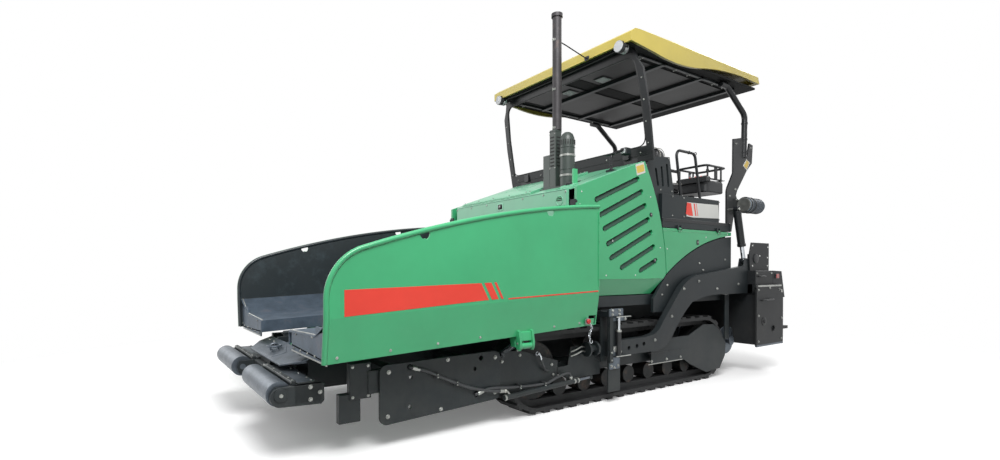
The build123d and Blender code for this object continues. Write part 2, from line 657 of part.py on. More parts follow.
def wing():
    """One hopper wing: the leaning bottom panel, the tall outer wall, the floor slope and the end plates."""
    t = WING_WALL
    rise = HOPPER_RISE
    front, rear = WING_FRONT_Y, WING_REAR_Y
    with BuildLine() as line:
        Polyline((front, WING_FOLD_Z), (front, 1274))
        ThreePointArc((front, 1274), (-3110, 1480), (-2928, 1575))
        ThreePointArc((-2928, 1575), (-1900, 1865), (rear, WING_TOP_Z))
        Polyline((rear, WING_TOP_Z), (rear, WING_FOLD_Z + climb(rear)), (front, WING_FOLD_Z))
    wall = side_cut(make_face(line.line), WING_OUT_X - t, WING_OUT_X)
    low = front_cut([(WING_OUT_X - t, WING_FOLD_Z), (WING_OUT_X, WING_FOLD_Z), (WING_LOW_X, WING_LOW_Z), (WING_LOW_X - t, WING_LOW_Z)],
                    front, rear, rise)
    floor = front_cut([(WING_OUT_X - t, WING_FOLD_Z + 12), (WING_OUT_X - t, WING_FOLD_Z), (WING_IN_X + t, 860), (WING_IN_X + t, WING_IN_Z),
                       (WING_IN_X, WING_IN_Z), (WING_IN_X, 872)], front, rear, rise)
    end = front_cut([(WING_IN_X, WING_IN_Z), (WING_LOW_X, WING_LOW_Z), (WING_OUT_X - t, WING_FOLD_Z), (WING_IN_X, 872)], front, front + t, rise)
    bottom = front_cut([(WING_IN_X, WING_IN_Z), (WING_LOW_X, WING_LOW_Z), (WING_LOW_X, WING_LOW_Z + t), (WING_IN_X, WING_IN_Z + t)],
                       front, rear, rise)
    back = front_cut([(570, 940), (570, 1240), (1100, 1985), (WING_OUT_X - 4, 1995), (WING_OUT_X - 4, 1180), (WING_LOW_X, 880)], rear - t, rear)
    shell = wall + low + floor + end + bottom + back
    under = WING_LOW_Z + climb(WING_CYL_Y)
    for y0 in (WING_CYL_Y - 50, WING_CYL_Y + 30):
        ear = front_cut([(1370, under + 22), (1474, under + 22), (1462, WING_CYL_EYE[1] - 30), (1402, WING_CYL_EYE[1] - 30)], y0, y0 + 20)
        shell += in_wing_plane(ear)
    for y0, y1, knuckle, z0, z1 in knuckles(False):
        shell += knuckle - hinge_pin(HINGE_PIN + RUN)
        shell += side_cut([(y0, z0 - 8), (y0, z0 + 40), (y1, z1 + 40), (y1, z1 - 8)], WING_AXIS_X + HINGE_PIN + 4, WING_IN_X + t)
    return shell


WING_CYL_LOW = (640.0, 300.0)
WING_CYL_EYE = (1432.0, 752.0)
WING_CYL_Y = -1465.0


def wing_cylinder():
    """Barrel and rod between the frame and the wing's lug, in the plane across the machine."""
    x0, z0 = WING_CYL_LOW
    x1, z1 = WING_CYL_EYE
    length = hypot(x1 - x0, z1 - z0)
    ux, uz = (x1 - x0) / length, (z1 - z0) / length

    def at(run):
        return (x0 + ux * run, WING_CYL_Y, z0 + uz * run)

    barrel = bar(at(30), at(560), 44) - bar(at(60), at(570), 26.5 + RUN)
    barrel += bar((x0, WING_CYL_Y - 34, z0), (x0, WING_CYL_Y + 34, z0), 45)
    barrel -= bar((x0, WING_CYL_Y - 60, z0), (x0, WING_CYL_Y + 60, z0), LIFT_PIN + RUN)
    rod = bar(at(75), at(length - 20), 26.5)
    rod += bar((x1, WING_CYL_Y - 24, z1), (x1, WING_CYL_Y + 24, z1), 34)
    return in_wing_plane(barrel), in_wing_plane(rod)


def push_beam():
    """The pivoting beam that carries both push rollers, with its flat bars."""
    beam = block(-1150, 1150, -3290, -3100, PUSH_BEAM_LOW_Z, PUSH_BEAM_HIGH_Z)
    for x in (-1118, -222, 204, 1100):
        cheek = side_cut([(-3290, 430), (-3420, 440), (-3440, 505), (-3420, 560), (-3290, 560)], x, x + 18)
        beam += cheek - round_x(PUSH_ROLLER_Y, PUSH_ROLLER_Z, 25 + RUN, x - 5, x + 25)
    return beam - Pos(0, PUSH_PIVOT_Y, 500) * Cylinder(PUSH_PIN + RUN, 400)


def push_roller(side):
    x0, x1 = sorted((side * PUSH_ROLLER_IN, side * PUSH_ROLLER_OUT))
    s0, s1 = sorted((side * 204, side * 1118))
    return round_x(PUSH_ROLLER_Y, PUSH_ROLLER_Z, PUSH_ROLLER_RADIUS, x0, x1) + round_x(PUSH_ROLLER_Y, PUSH_ROLLER_Z, 25, s0, s1)


def beam_carrier():
    """The frame's nose: two ears over and under the push beam, and the upright pin that it turns on."""
    nose = block(-180, 180, -3070, FRAME_FRONT_Y, 390, 600)
    nose += block(-180, 180, -3240, -3060, PUSH_BEAM_HIGH_Z + 6, 600)
    nose += block(-180, 180, -3240, -3060, 390, PUSH_BEAM_LOW_Z - 6)
    nose += Pos(0, PUSH_PIVOT_Y, 390) * Cylinder(PUSH_PIN, 210, align=(Align.CENTER, Align.CENTER, Align.MIN))
    return nose


def tow_guide():
    """The upright guide of the tow point: two plates, the pin, and the bracket over the track."""
    guide = block(ARM_OUT_X + 6, ARM_OUT_X + 22, -155, 29, 118, 968)
    guide += block(ARM_IN_X - 22, ARM_IN_X - 6, -155, 29, 420, 968)
    guide += block(TUNNEL_HALF + WEB, ARM_OUT_X + 22, -155, 29, 900, 955)
    guide += block(ARM_OUT_X + 22, ARM_OUT_X + 46, -88, 150, 484, 494)
    guide += block(ARM_OUT_X + 22, ARM_OUT_X + 46, -88, 150, 895, 905)
    guide += round_x(TOW_Y, TOW_Z, TOW_PIN, ARM_IN_X - 22, ARM_OUT_X + 30)
    return guide


def tow_arm():
    """The cranked arm from the tow point up over the drive and back to the screed."""
    with BuildLine() as line:
        Polyline((-110, 640), (494, 645), (640, 668))
        ThreePointArc((640, 668), (720, 710), (790, 785))
        Line((790, 785), (1150, 1170))
        ThreePointArc((1150, 1170), (1310, 1275), (1560, 1330))
        Polyline((1560, 1330), (2863, 1472), (2863, 1074), (2045, 1074))
        ThreePointArc((2045, 1074), (1600, 1050), (1364, 998))
        ThreePointArc((1364, 998), (1180, 850), (990, 640))
        ThreePointArc((990, 640), (850, 520), (622, 474))
        Polyline((622, 474), (-110, 480), (-110, 640))
    face = make_face(line.line)
    for y, z in ((200, 545), (334, 557), (454, 570)):
        face -= Pos(y, z) * Circle(24)
    face -= Pos(TOW_Y, TOW_Z) * Circle(TOW_PIN + RUN)
    arm = side_cut(face, ARM_IN_X, ARM_OUT_X)
    y, z = LIFT_EYE
    for x0 in (ARM_IN_X, ARM_OUT_X - 9):
        arm += side_cut([(y - 90, 1400), (y - 45, z + 30), (y + 45, z + 30), (y + 90, 1400)], x0, x0 + 9)
    return arm


def screed_body():
    """The heated screed: main box, front wall, strike-off edge and walkway."""
    box = block(-SCREED_HALF, SCREED_HALF, SCREED_FRONT_Y, SCREED_REAR_Y, SCREED_LOW_Z, SCREED_TOP_Z)
    return box


def end_plate():
    plate = side_cut([(2575, SCREED_LOW_Z), (3290, 365), (3290, 1000), (3240, 1040), (3240, 1189), (2575, 1189)], SCREED_HALF, SCREED_HALF + END_PLATE)
    return plate - round_x(3011, 593, 40, SCREED_HALF - 10, SCREED_HALF + 60)


def arm_mount():
    """The bolted bracket at the arm's rear end, and the slanting plate with the rear lamp."""
    bracket = block(ARM_IN_X - 40, ARM_OUT_X + 60, 2640, 3200, SCREED_TOP_Z, SCREED_TOP_Z + 120)
    return bracket


def walkway():
    return block(-SCREED_HALF, SCREED_HALF, SCREED_REAR_Y, WALKWAY_REAR_Y, 560, 600)


def auger():
    """A helical screw on its shaft."""
    shaft = round_x(AUGER_Y, AUGER_Z, 45, AUGER_IN_X, AUGER_OUT_X) + round_x(AUGER_Y, AUGER_Z, 30, 40, AUGER_IN_X)
    turns = int((AUGER_OUT_X - AUGER_IN_X - 60) // AUGER_PITCH)
    for count in range(2 * turns + 1):
        x = AUGER_IN_X + 40 + count * AUGER_PITCH / 2
        shaft += round_x(AUGER_Y, AUGER_Z, AUGER_RADIUS, x, x + 14)
    return shaft


def screed_cylinder():
    """Barrel and rod of one lift cylinder, in the plane of its tow arm."""
    y0, z0 = LIFT_TOP
    y1, z1 = LIFT_EYE
    length = hypot(y1 - y0, z1 - z0)
    uy, uz = (y1 - y0) / length, (z1 - z0) / length

    def at(run):
        return (LIFT_X, y0 + uy * run, z0 + uz * run)

    barrel = bar(at(20), at(500), LIFT_BARREL) - bar(at(60), at(510), LIFT_ROD + RUN)
    barrel += round_x(y0, z0, 42, LIFT_X - 28, LIFT_X + 28)
    barrel -= round_x(y0, z0, LIFT_PIN + RUN, LIFT_X - 60, LIFT_X + 60)
    rod = bar(at(165), at(length - 20), LIFT_ROD)
    rod += round_x(y1, z1, 34, LIFT_X - 18, LIFT_X + 18)
    return barrel, rod


def wing_cylinder_mount():
    """The ears and pin on the frame that hold the foot of a wing cylinder."""
    x, z = WING_CYL_LOW
    mount = None
    for y0 in (WING_CYL_Y - 68, WING_CYL_Y + 50):
        ear = block(TUNNEL_HALF + WEB, x + 40, y0, y0 + 18, z - 40, z + 120)
        mount = ear if mount is None else mount + ear
    return mount + in_wing_plane(bar((x, WING_CYL_Y - 66, z), (x, WING_CYL_Y + 66, z), LIFT_PIN))


def both(*solids):
    """Left solids and their mirror images."""
    return [s for s in solids] + [mirrored(s) for s in solids]


def main():
    os.makedirs("parts", exist_ok=True)
    ears = wing_cylinder_mount()
    save("main_frame", main_frame() + beam_carrier() + ears + mirrored(ears))
    save("conveyors", *conveyor())
    save("front_apron", front_apron())
    save("side_plates", *both(side_plate()))
    save_pair("track", track())
    save_pair("track_wheels", *track_wheels(), sprocket())
    save_pair("track_frame", track_frame())
    save("hood", hood())
    save("engine_block", engine_block())
    save_pair("side_door", side_door())
    save_pair("rear_flap", rear_flap())
    save("fenders", *both(fender()))
    save("rear_body", rear_body())
    save("platform", platform())
    save("station_sides", *both(station_side()))
    save("seat_left", seat(720))
    save("seat_right", seat(-720))
    save("console", console())
    save("handrails", *handrails())
    save("front_frame", front_frame())
    save("rear_hoops", *rear_hoops())
    save("canopy", canopy())
    save("canopy_liner", canopy_liner())
    save("canopy_lamps", *canopy_lamps())
    save("exhaust_casing", exhaust_casing())
    save("exhaust_pipe", exhaust_pipe())
    save_pair("wing", wing())
    barrel, rod = wing_cylinder()
    save_pair("wing_barrel", barrel)
    save_pair("wing_rod", rod)
    save("push_beam", push_beam())
    save("push_roller_left", push_roller(1))
    save("push_roller_right", push_roller(-1))
    save("tow_guides", *both(tow_guide()))
    save("tow_arms", *both(tow_arm() + arm_mount()))
    save("screed", screed_body() + walkway())
    save("end_plates", *both(end_plate()))
    barrel, rod = screed_cylinder()
    save_pair("lift_barrel", barrel)
    save_pair("lift_rod", rod)
    save_pair("auger", auger())


main()
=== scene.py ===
"""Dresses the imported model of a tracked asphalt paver: finishes, trim, hoses, seats, stage and camera."""

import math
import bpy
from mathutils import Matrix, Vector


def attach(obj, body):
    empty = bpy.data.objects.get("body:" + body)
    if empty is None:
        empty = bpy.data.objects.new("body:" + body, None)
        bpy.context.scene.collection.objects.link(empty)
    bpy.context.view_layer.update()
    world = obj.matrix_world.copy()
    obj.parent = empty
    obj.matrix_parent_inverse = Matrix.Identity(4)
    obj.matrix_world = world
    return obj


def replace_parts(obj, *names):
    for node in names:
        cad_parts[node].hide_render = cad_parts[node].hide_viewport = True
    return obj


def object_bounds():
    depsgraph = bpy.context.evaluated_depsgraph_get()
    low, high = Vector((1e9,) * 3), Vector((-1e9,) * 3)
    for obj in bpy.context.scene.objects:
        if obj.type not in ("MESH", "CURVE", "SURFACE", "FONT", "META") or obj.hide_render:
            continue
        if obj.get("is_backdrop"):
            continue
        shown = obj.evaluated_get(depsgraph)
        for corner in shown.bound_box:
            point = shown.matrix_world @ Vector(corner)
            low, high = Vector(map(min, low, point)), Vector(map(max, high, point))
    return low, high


bl_info = {"name": "Asphalt Paver Dressing", "version": (1, 0, 0), "blender": (4, 5, 0),
    "location": "View3D > Sidebar > Paver",
    "description": "Builds the looks of a tracked asphalt paver around its packed frame",
    "category": "Add Mesh"}

import bmesh
import bpy
from bpy.props import FloatProperty, FloatVectorProperty, IntProperty, PointerProperty
from mathutils import Matrix, Vector
from mathutils.geometry import tessellate_polygon

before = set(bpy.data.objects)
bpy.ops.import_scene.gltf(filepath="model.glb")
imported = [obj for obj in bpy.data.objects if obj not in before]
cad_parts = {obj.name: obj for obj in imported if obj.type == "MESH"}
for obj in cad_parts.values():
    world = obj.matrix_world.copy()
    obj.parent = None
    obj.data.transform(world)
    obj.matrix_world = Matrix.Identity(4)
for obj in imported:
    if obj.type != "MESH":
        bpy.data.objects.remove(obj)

FINISHES = {}
GROUPS = {}
BOLTS = {}

# places that several pieces share, in millimetres: axes as pairs of x and y, or of y and z
WING_FACE = 1526.2
WING_RISE = 0.043
WING_EYES = ((-2433, 1662), (-1159, 1908))
DOOR_FACE = 1200
STACK = (603, -212)
SILENCER = (780, -215)
ROLLER = (-3390, 505)
AUGER = (2432, 440)
HOOD_SLOPE = Vector((0, -0.3336, 0.9427))
FRAME_LEAN = math.radians(9.8)
UP, LEFT, REAR, FRONT = (0, 0, 1), (1, 0, 0), (0, 1, 0), (0, -1, 0)
# the six faces of a block whose points are its four lower and its four upper corners
BLOCK = [(0, 1, 2, 3), (4, 5, 6, 7), (0, 1, 5, 4), (1, 2, 6, 5), (2, 3, 7, 6), (3, 0, 4, 7)]
SIDES = ((1, "left"), (-1, "right"))


def tone(red, green, blue):
    """A colour given as 0 to 255 screen values, in the linear values that shaders use."""
    def linear(value):
        value /= 255
        return value / 12.92 if value <= 0.04045 else ((value + 0.055) / 1.055) ** 2.4
    return linear(red), linear(green), linear(blue)


DUST_COLOUR = tone(150, 146, 138)
RUST_COLOUR = tone(112, 82, 62)
BARE_COLOUR = (0.16, 0.15, 0.14)


def colour_property(label, description, *screen):
    return FloatVectorProperty(name=label, description=description, subtype="COLOR", size=3, min=0, max=1,
        default=tone(*screen))


class PaverPaints(bpy.types.PropertyGroup):
    """Colours of the machine's finishes."""

    green: colour_property("Green", "Hopper wings, side doors and rear flaps", 60, 174, 116)
    # a paler copy of the green: painted light standing for the lit top of the engine cover
    lit_pale_green: colour_property("Pale green", "Engine cover", 104, 184, 144)
    dark: colour_property("Dark grey", "Frame, guards, arms and platform", 27, 35, 38)
    black: colour_property("Black", "Canopy posts, station and screed", 23, 26, 29)
    yellow: colour_property("Yellow", "Canopy", 198, 180, 82)
    stripe: colour_property("Red stripe", "Stripes along the wings", 236, 66, 50)
    steel: colour_property("Worn steel", "Hopper floor, rollers and slats", 96, 104, 112)
    rubber: colour_property("Rubber", "Hoses and track pads", 26, 27, 28)


class PaverSizes(bpy.types.PropertyGroup):
    """Sizes of the trim."""

    edge_radius: FloatProperty(name="Edge radius", description="Rounding of painted plate edges",
        default=0.004, min=0, unit="LENGTH")
    stripe_thickness: FloatProperty(name="Stripe thickness",
        description="How far the stripes stand off the wings", default=0.0008, min=0.0001, max=0.005,
        unit="LENGTH")
    bolt_sides: IntProperty(name="Bolt sides", description="Flats on each bolt head", default=6, min=3,
        max=12)
    flight_steps: IntProperty(name="Flight steps", description="Steps in one turn of a screw's flight",
        default=28, min=8, max=64)


def feed(tree, node, inputs):
    """Links each input of a node to a socket, or sets its value."""
    for place, value in inputs.items():
        if isinstance(value, bpy.types.NodeSocket):
            tree.links.new(value, node.inputs[place])
        else:
            node.inputs[place].default_value = value


def add_node(tree, kind, inputs=None, **settings):
    """A new node with its settings and its inputs."""
    node = tree.nodes.new(kind)
    for name, value in settings.items():
        setattr(node, name, value)
    feed(tree, node, inputs or {})
    return node


def new_group(name, inputs, outputs):
    """An empty shader node group with its sockets; its inputs are plain numbers."""
    tree = bpy.data.node_groups.new(name, "ShaderNodeTree")
    for label, value in inputs.items():
        socket = tree.interface.new_socket(label, in_out="INPUT", socket_type="NodeSocketFloat")
        socket.default_value = value
    for label, kind in outputs.items():
        tree.interface.new_socket(label, in_out="OUTPUT", socket_type=kind)
    GROUPS[name] = tree
    return tree, add_node(tree, "NodeGroupInput").outputs, add_node(tree, "NodeGroupOutput")


def math_node(tree, operation, first, second=None, clamp=False):
    """A Math node; its inputs are sockets or numbers."""
    values = {0: first} if second is None else {0: first, 1: second}
    return add_node(tree, "ShaderNodeMath", values, operation=operation, use_clamp=clamp).outputs[0]


def times(tree, first, second, clamp=False):
    return math_node(tree, "MULTIPLY", first, second, clamp)


def varied(tree, value, noise, amount):
    """A value that a noise of 0 to 1 moves up and down by half an amount, held between 0 and 1."""
    return math_node(tree, "ADD", value, times(tree, math_node(tree, "SUBTRACT", noise, 0.5), amount),
        clamp=True)


def ramp_node(tree, value, low, high):
    """A Map Range node from low..high to 0..1."""
    return add_node(tree, "ShaderNodeMapRange", {"Value": value, "From Min": low,
        "From Max": high}).outputs["Result"]


def noise_node(tree, vector, scale, detail=3.0, roughness=0.5):
    values = {"Vector": vector, "Scale": scale, "Detail": detail, "Roughness": roughness}
    return add_node(tree, "ShaderNodeTexNoise", values).outputs["Fac"]


def split_node(tree, vector):
    """The X, Y and Z outputs of a vector."""
    return add_node(tree, "ShaderNodeSeparateXYZ", {0: vector}).outputs


def object_place(tree):
    """Where a point lies on the machine."""
    return add_node(tree, "ShaderNodeTexCoord").outputs["Object"]


def edge_wear_group():
    """Where the paint has worn off along edges, and the normal of those rounded edges."""
    tree, entry, leave = new_group("Edge wear", {"Radius": 0.004, "Amount": 0.5, "Scale": 9.0},
        {"Mask": "NodeSocketFloat", "Normal": "NodeSocketVector"})
    soft = add_node(tree, "ShaderNodeBevel", {"Radius": entry["Radius"]}, samples=4).outputs["Normal"]
    flat = add_node(tree, "ShaderNodeNewGeometry").outputs["Normal"]
    turn = add_node(tree, "ShaderNodeVectorMath", {0: soft, 1: flat},
        operation="DOT_PRODUCT").outputs["Value"]
    noise = noise_node(tree, object_place(tree), entry["Scale"], 6, 0.65)
    spread = times(tree, math_node(tree, "SUBTRACT", 1.0, entry["Amount"]), 0.7)
    worn = times(tree, ramp_node(tree, turn, 0.995, 0.86), math_node(tree, "SUBTRACT", noise, spread),
        clamp=True)
    feed(tree, leave, {"Mask": times(tree, worn, 4.0, clamp=True), "Normal": soft})


def dust_group():
    """Dust that gathers low down and in soft patches, with faint streaks that run down."""
    tree, entry, leave = new_group("Dust", {"Height": 1.0, "Amount": 0.3}, {"Mask": "NodeSocketFloat"})
    place = object_place(tree)
    low = add_node(tree, "ShaderNodeMapRange", {"Value": split_node(tree, place)["Z"],
        "From Min": entry["Height"], "From Max": 0, "To Min": 0.25}).outputs["Result"]
    patches = ramp_node(tree, noise_node(tree, place, 2.3, 7, 0.62), 0.35, 0.72)
    tall = add_node(tree, "ShaderNodeMapping", {"Vector": place, "Scale": (17, 17, 1.1)}).outputs["Vector"]
    streaks = ramp_node(tree, noise_node(tree, tall, 1.0, 3, 0.5), 0.55, 0.8)
    mixed = math_node(tree, "ADD", times(tree, patches, 0.85), times(tree, streaks, 0.12))
    feed(tree, leave, {"Mask": times(tree, times(tree, mixed, low), entry["Amount"], clamp=True)})


def peel_group():
    """The fine ripple of sprayed paint, with a slow waviness of the plate under it."""
    tree, entry, leave = new_group("Paint ripple", {"Scale": 260.0, "Waves": 0.4},
        {"Height": "NodeSocketFloat"})
    place = object_place(tree)
    fine = times(tree, noise_node(tree, place, entry["Scale"], 1), 0.25)
    slow = times(tree, noise_node(tree, place, 3.0, 1), entry["Waves"])
    feed(tree, leave, {"Height": math_node(tree, "ADD", fine, slow)})


def place_group(tree, name, **values):
    """The outputs of a group node in a material, with its inputs set."""
    return add_node(tree, "ShaderNodeGroup", values, node_tree=GROUPS[name]).outputs


def new_material(name):
    material = bpy.data.materials.new(name)
    material.use_nodes = True
    FINISHES[name] = material
    return material.node_tree, material.node_tree.nodes["Principled BSDF"]


def mix_colour(tree, mask, first, second):
    """A Mix node between two colours, each a socket or a value."""
    first, second = ((*value, 1) if isinstance(value, tuple) else value for value in (first, second))
    return add_node(tree, "ShaderNodeMix", {"Factor": mask, 6: first, 7: second},
        data_type="RGBA").outputs[2]


def shades(colour, dark, light, lift=0.0):
    """A darker and a lighter shade of a colour."""
    return tuple(dark * part for part in colour), tuple(min(1, light * part + lift) for part in colour)


def bump_node(tree, strength, distance, height, normal=None):
    """The normal of a surface that a height moves, over another normal where one is given."""
    values = {"Strength": strength, "Distance": distance, "Height": height}
    if normal is not None:
        values["Normal"] = normal
    return add_node(tree, "ShaderNodeBump", values).outputs["Normal"]


def painted(name, colour, roughness, wear, dust, coat=0.0, inner=None):
    """Sprayed paint on plate: slightly uneven colour, ripple, worn edges and dust."""
    tree, shader = new_material(name)
    place = object_place(tree)
    fade = noise_node(tree, place, 1.4, 4, 0.6)
    shade = mix_colour(tree, ramp_node(tree, fade, 0.3, 0.7), *shades(colour, 0.9, 1.06, 0.004))
    if inner:
        # the side that faces the machine's middle has another paint, scuffed by the load
        across = split_node(tree, place)["X"]
        facing = split_node(tree, place.node.outputs["Normal"])["X"]
        inward = math_node(tree, "LESS_THAN", times(tree, across, facing), -0.35)
        below_rim = math_node(tree, "LESS_THAN", math_node(tree, "ABSOLUTE", across), 1.516)
        scuffs = ramp_node(tree, noise_node(tree, place, 7, 6, 0.7), 0.5, 0.72)
        scuffed = mix_colour(tree, scuffs, inner, tuple(2.1 * part for part in inner))
        shade = mix_colour(tree, times(tree, inward, below_rim), shade, scuffed)
    radius = bpy.context.scene.paver_sizes.edge_radius
    edge = place_group(tree, "Edge wear", Radius=radius, Amount=wear, Scale=9.0)
    dirt = place_group(tree, "Dust", Height=1.2, Amount=dust)["Mask"]
    peel = place_group(tree, "Paint ripple", Scale=260.0, Waves=0.5)["Height"]
    worn = mix_colour(tree, edge["Mask"], shade, BARE_COLOUR)
    rough = math_node(tree, "ADD", roughness, times(tree, dirt, 0.4))
    feed(tree, shader, {"Base Color": mix_colour(tree, dirt, worn, DUST_COLOUR),
        "Roughness": varied(tree, rough, fade, 0.15), "Coat Weight": coat, "Coat Roughness": 0.15,
        "Normal": bump_node(tree, 0.25, 0.002, peel, edge["Normal"])})


def metal(name, colour, roughness, rust, metallic=0.8, scratches=0.3):
    """Bare steel: uneven tone, fine scratches and a little rust."""
    tree, shader = new_material(name)
    place = object_place(tree)
    blotch = noise_node(tree, place, 6, 6, 0.65)
    fine = noise_node(tree, place, 70, 4, 0.6)
    shade = mix_colour(tree, ramp_node(tree, blotch, 0.3, 0.7), *shades(colour, 0.7, 1.25))
    rusty = times(tree, ramp_node(tree, blotch, 0.55, 0.75), rust, clamp=True)
    edge = place_group(tree, "Edge wear", Radius=0.003, Amount=0.3, Scale=12.0)
    feed(tree, shader, {"Base Color": mix_colour(tree, rusty, shade, RUST_COLOUR),
        "Roughness": varied(tree, roughness, fine, 0.3), "Metallic": math_node(tree, "SUBTRACT", metallic,
        times(tree, rusty, 0.6), clamp=True), "Normal": bump_node(tree, scratches, 0.001, fine,
        edge["Normal"])})


def moulded(name, colour, roughness, grain=0.3, size=420.0):
    """Rubber, leather or moulded plastic: a fine grain and a soft tone."""
    tree, shader = new_material(name)
    place = object_place(tree)
    cells = add_node(tree, "ShaderNodeTexVoronoi", {"Vector": place, "Scale": size},
        feature="DISTANCE_TO_EDGE")
    soft = noise_node(tree, place, 5, 4)
    feed(tree, shader, {"Base Color": mix_colour(tree, soft, *shades(colour, 0.8, 1.25)),
        "Roughness": varied(tree, roughness, soft, 0.2), "Normal": bump_node(tree, grain, 0.001,
        cells.outputs["Distance"])})


def lens(name):
    """Lamp glass with moulded ribs."""
    tree, shader = new_material(name)
    ribs = add_node(tree, "ShaderNodeTexWave", {"Vector": object_place(tree), "Scale": 60},
        bands_direction="X")
    feed(tree, shader, {"Base Color": (0.82, 0.84, 0.86, 1), "Roughness": 0.12, "Transmission Weight": 0.35,
        "Normal": bump_node(tree, 0.4, 0.002, ribs.outputs["Fac"])})


# the finish of each CAD node, by how its name starts
# the canopy liner's paint is its own dark grey set darker still, painted shade under the canopy
# the engine cover's paint is the green made paler, painted light for its lit top
NODE_FINISH = (("hood", "hood_paint"), ("side_door", "green_paint"), ("rear_flap", "green_paint"),
    ("wing_barrel", "black_paint"), ("wing_rod", "chrome"), ("wing_tray", "tray_steel"),
    ("wing_", "wing_paint"), ("canopy_liner", "liner_board"), ("canopy_lamps", "lamp_glass"),
    ("canopy", "canopy_paint"), ("track_wheels", "track_steel"), ("track_frame", "dark_paint"),
    ("track_", "track_rubber"), ("front_apron", "worn_steel"), ("tow_arms", "arm_paint"),
    ("push_roller", "worn_steel"), ("push_beam", "dark_paint"), ("seat", "seat_leather"),
    ("lift_barrel", "black_paint"), ("lift_rod", "chrome"), ("auger", "worn_steel"),
    ("conveyors", "worn_steel"), ("console", "dark_plastic"), ("screed", "screed_paint"),
    ("end_plates", "screed_paint"), ("engine_block", "engine_iron"), ("exhaust_pipe", "exhaust_steel"),
    ("exhaust_casing", "exhaust_paint"), ("front_frame", "black_paint"), ("rear_hoops", "black_paint"),
    ("handrails", "black_paint"),)


def inset(outline, distance):
    """The outline moved inward by a distance; its corners stay as sharp as they are."""
    area = sum(a[0] * b[1] - b[0] * a[1] for a, b in zip(outline, outline[1:] + outline[:1]))
    turn = 1 if area > 0 else -1
    moved = []
    for before, here, after in zip(outline[-1:] + outline[:-1], outline, outline[1:] + outline[:1]):
        one = (Vector(here) - Vector(before)).normalized()
        two = (Vector(after) - Vector(here)).normalized()
        inward = turn * (Vector((-one.y, one.x)) + Vector((-two.y, two.x)))
        moved.append(Vector(here) + inward * distance / max(0.35, 1 + one.dot(two)))
    return moved


def rounded(outline, radius, steps=4):
    """An outline whose corners are turned into arcs of about a radius."""
    points = []
    for before, here, after in zip(outline[-1:] + outline[:-1], outline, outline[1:] + outline[:1]):
        here = Vector(here)
        back, ahead = Vector(before) - here, Vector(after) - here
        reach = min(radius, back.length * 0.45, ahead.length * 0.45)
        start, end = here + back.normalized() * reach, here + ahead.normalized() * reach
        for step in range(steps + 1):
            t = step / steps
            points.append(start.lerp(here, t).lerp(here.lerp(end, t), t))
    return points


def oblong(across, up):
    """The corners of a rectangle between two pairs of values."""
    return [(across[0], up[0]), (across[1], up[0]), (across[1], up[1]), (across[0], up[1])]


def arc(centre, radius, angles):
    """Points round a centre, at angles in degrees."""
    return [(centre[0] + radius * math.cos(math.radians(a)), centre[1] + radius * math.sin(math.radians(a)))
        for a in angles]


def slot_outline(y0, z0, y1, z1, radius, step):
    """A long hole with round ends about two points."""
    tilt = math.degrees(math.atan2(z1 - z0, y1 - y0))
    angles = [tilt - 90 + step * i for i in range(int(180 / step) + 1)]
    return arc((y1, z1), radius, angles) + arc((y0, z0), radius, [180 + angle for angle in angles])


def on_frame(x, up, out=0.0):
    """A point on the front face of the canopy's leaning frame: across, up the slope, and out from it."""
    sine, cosine = math.sin(FRAME_LEAN), math.cos(FRAME_LEAN)
    return (x, 650 - up * sine - out * cosine, 2650 + up * cosine - out * sine)


def smooth_line(points, steps):
    """A soft curve through the points, as a hose or a bent rod runs."""
    points = [Vector(p) for p in points]
    ends = [2 * points[0] - points[1], *points, 2 * points[-1] - points[-2]]
    line = []
    for a, b, c, d in zip(ends, ends[1:], ends[2:], ends[3:]):
        for step in range(steps):
            t = step / steps
            line.append(0.5 * (2 * b + (c - a) * t + (2 * a - 5 * b + 4 * c - d) * t * t
                + (3 * b - a - 3 * c + d) * t ** 3))
    return [*line, points[-1]]


def rounded_corner(before, corner, after, radius, steps=6):
    """The points of an arc that rounds one corner of a line, in two or three dimensions."""
    before, corner, after = Vector(before), Vector(corner), Vector(after)
    back, ahead = (before - corner).normalized(), (after - corner).normalized()
    half = math.acos(max(-1.0, min(1.0, back.dot(ahead)))) / 2
    middle = corner + (back + ahead).normalized() * radius / math.sin(half)
    start, end = corner + back * radius / math.tan(half), corner + ahead * radius / math.tan(half)
    return [tuple(middle + (start.lerp(end, step / steps) - middle).normalized() * radius)
        for step in range(steps + 1)]


def bent(points, radii):
    """A tube's line along straight runs joined by arcs."""
    line = [tuple(points[0])]
    for before, corner, after, radius in zip(points, points[1:], points[2:], radii):
        line += rounded_corner(before, corner, after, radius)
    return line + [tuple(points[-1])]


def raised(axis, a, b, level):
    """A point of a drawing seen along an axis (0 x, 1 y, 2 z), at a level on that axis."""
    return ((level, a, b), (a, level, b), (a, b, level))[axis]


def square_axes(direction):
    """A direction of length one, and two more that stand square to it."""
    direction = Vector(direction).normalized()
    across = direction.orthogonal().normalized()
    return direction, across, direction.cross(across)


